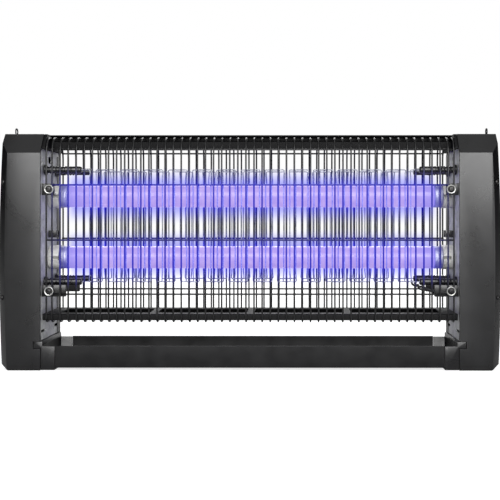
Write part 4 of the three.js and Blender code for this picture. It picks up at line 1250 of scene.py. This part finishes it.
# %% Cover screws
COVER_HEAD = [(1.3, 0.3), (2.6, 0.3), (2.6, 0.85), (2.35, 1.35), (1.9, 1.68), (1.3, 1.7), (1.15, 1.2)]
for level in LEVELS:
    z = middle(f"right_cover_screw_{level}").z
    place = (CROWN - bulge(z) - EDGE_BEVEL / 2, EDGE_BEVEL / 2 - DEEP, z)
    right = turned(f"right_bevel_screw_{level}", (1, -1, 0), place,
                   [(0.7, -8), (1.25, -7)] + COVER_HEAD, sides=30)
    smooth(right, 28)
    left = mirrored_copy(right, f"left_bevel_screw_{level}", "X")
    for side, screw in (("right", right), ("left", left)):
        finish_piece(screw, black_oxide, "black_screw", "frame", f"{side}_cover_screw_{level}")

# %% [markdown]
# ## Floor and light
#
# The object stands on a plain white sweep in soft light. One wide softbox stands high in front.
# Black plastic shows little but reflections, so the softbox is what grades the housings' faces
# from grey at the top to nearly black at the bottom, and the sides of the room are dark so that
# the bevels stay darker than the faces. A second light from behind shapes the rear.

# %% Floor
floor = start("floor", bpy.ops.mesh.primitive_plane_add, size=12, location=(0, 0, 0))
floor_material = bpy.data.materials.new("white_sweep")
floor_material.use_nodes = True
floor_shader = floor_material.node_tree.nodes["Principled BSDF"]
floor_shader.inputs["Base Color"].default_value = linear("#b8b8b8")
floor_shader.inputs["Roughness"].default_value = 0.95
floor_shader.inputs["Emission Color"].default_value = (1, 1, 1, 1)
seen_floor = add_node(floor_material, "LightPath")
lift = add_node(floor_material, "Math", {
    0: seen_floor.outputs["Is Camera Ray"], 1: 0.72}, operation="MULTIPLY")
connect(floor_material, floor_shader.inputs["Emission Strength"], lift.outputs["Value"])
floor.data.materials.append(floor_material)

# %% [markdown]
# ## The haze round the tubes
#
# A lit tube seems to stand in a soft halo, which comes from the eye or the lens and not from the
# object. It is a tinted sheet in the plane of the tubes, seen by the camera only. Like the floor,
# it rides on no body and is not a piece of the object.

# %% Haze round the tubes
HAZE_REACH = 21.5 * MM            # how far the halo carries past a tube's edge
HAZE_TINT = 0.55                  # how blue it is at the tube
HAZE_END = 8 * MM                 # it fades over this much on either side of the tubes' ends
haze = start("haze", bpy.ops.mesh.primitive_plane_add, size=1, location=(0, 0, 0))
edit(haze)
select_everything()
HAZE_LOW = middle("lower_lamp_glass").z - TUBE_RADIUS - GLOW_REACH
HAZE_HIGH = middle("upper_lamp_glass").z + TUBE_RADIUS + GLOW_REACH
bpy.ops.transform.rotate(value=math.pi / 2, orient_axis="X", center_override=(0, 0, 0))
bpy.ops.transform.resize(value=(2 * TUBE_END + 20 * MM, 1, HAZE_HIGH - HAZE_LOW),
                         center_override=(0, 0, 0))
move((0, 0, (HAZE_LOW + HAZE_HIGH) / 2))
deselect_all()
haze_material = bpy.data.materials.new("haze")
haze_material.use_nodes = True
haze_material.node_tree.nodes.clear()
place = add_node(haze_material, "TexCoord").outputs["Object"]
split = add_node(haze_material, "SeparateXYZ", {"Vector": place})
glows = []
for level in LEVELS:
    off = add_node(haze_material, "Math", {
        0: split.outputs["Z"], 1: middle(f"{level}_lamp_glass").z}, operation="SUBTRACT")
    away = add_node(haze_material, "Math", {0: off.outputs["Value"]}, operation="ABSOLUTE")
    glows.append(add_node(haze_material, "MapRange", {
        "Value": away.outputs["Value"], "From Min": TUBE_RADIUS, "From Max": TUBE_RADIUS + HAZE_REACH,
        "To Min": HAZE_TINT, "To Max": 0.0}, interpolation_type="SMOOTHSTEP").outputs["Result"])
both = add_node(haze_material, "Math", {0: glows[0], 1: glows[1]}, operation="ADD")
along = add_node(haze_material, "Math", {0: split.outputs["X"]}, operation="ABSOLUTE")
ends = add_node(haze_material, "MapRange", {
    "Value": along.outputs["Value"], "From Min": TUBE_END - HAZE_END, "From Max": TUBE_END + HAZE_END,
    "To Min": 1.0, "To Max": 0.0}, interpolation_type="SMOOTHSTEP")
amount = add_node(haze_material, "Math", {
    0: both.outputs["Value"], 1: ends.outputs["Result"]}, operation="MULTIPLY")
tint = add_node(haze_material, "MixRGB", {
    "Fac": amount.outputs["Value"], "Color1": (1, 1, 1, 1), "Color2": (0, 0, 1, 1)})
veil = add_node(haze_material, "BsdfTransparent", {"Color": tint.outputs["Color"]})
add_node(haze_material, "OutputMaterial", {"Surface": veil.outputs["BSDF"]})
haze.data.materials.append(haze_material)
haze.visible_diffuse = haze.visible_glossy = haze.visible_shadow = False


# %% Lights and room
def softbox(name, place, target, width, height, power):
    light = bpy.data.lights.new(name, "AREA")
    light.shape = "RECTANGLE"
    light.size = width
    light.size_y = height
    light.energy = power
    lamp = bpy.data.objects.new(name, light)
    bpy.context.scene.collection.objects.link(lamp)
    lamp.location = place
    lamp.rotation_euler = (Vector(target) - Vector(place)).to_track_quat("-Z", "Y").to_euler()
    lamp.visible_camera = False
    return lamp


softbox("key", (0.2, -1.7, 0.9), (0, 0, 0.12), 2.0, 1.2, 52)
softbox("back", (0, 1.8, 1.3), (0, 0, 0.12), 2.4, 1.2, 34)

world = bpy.data.worlds.new("studio")
bpy.context.scene.world = world
world.use_nodes = True
world.node_tree.nodes.clear()
split = add_node(world, "SeparateXYZ", {"Vector": add_node(world, "TexCoord").outputs["Generated"]})
sideways = add_node(world, "Math", {0: split.outputs["X"]}, operation="ABSOLUTE")
walls = add_node(world, "MapRange", {
    "Value": sideways.outputs["Value"], "From Min": 0.3, "From Max": 0.72,
    "To Min": 1.0, "To Max": 0.02})
depth = add_node(world, "MapRange", {
    "Value": split.outputs["Y"], "From Min": -0.1, "From Max": 0.6, "To Min": 0.75, "To Max": 0.85})
light = add_node(world, "Math", {
    0: walls.outputs["Result"], 1: depth.outputs["Result"]}, operation="MULTIPLY")
room = add_node(world, "Background", {"Strength": light.outputs["Value"]})
backdrop = add_node(world, "Background", {"Color": (1, 1, 1, 1)})
seen = add_node(world, "LightPath")
mix = add_node(world, "MixShader", {
    "Fac": seen.outputs["Is Camera Ray"], 1: room.outputs["Background"],
    2: backdrop.outputs["Background"]})
add_node(world, "OutputWorld", {"Surface": mix.outputs["Shader"]})
bpy.context.scene.view_settings.view_transform = "Standard"
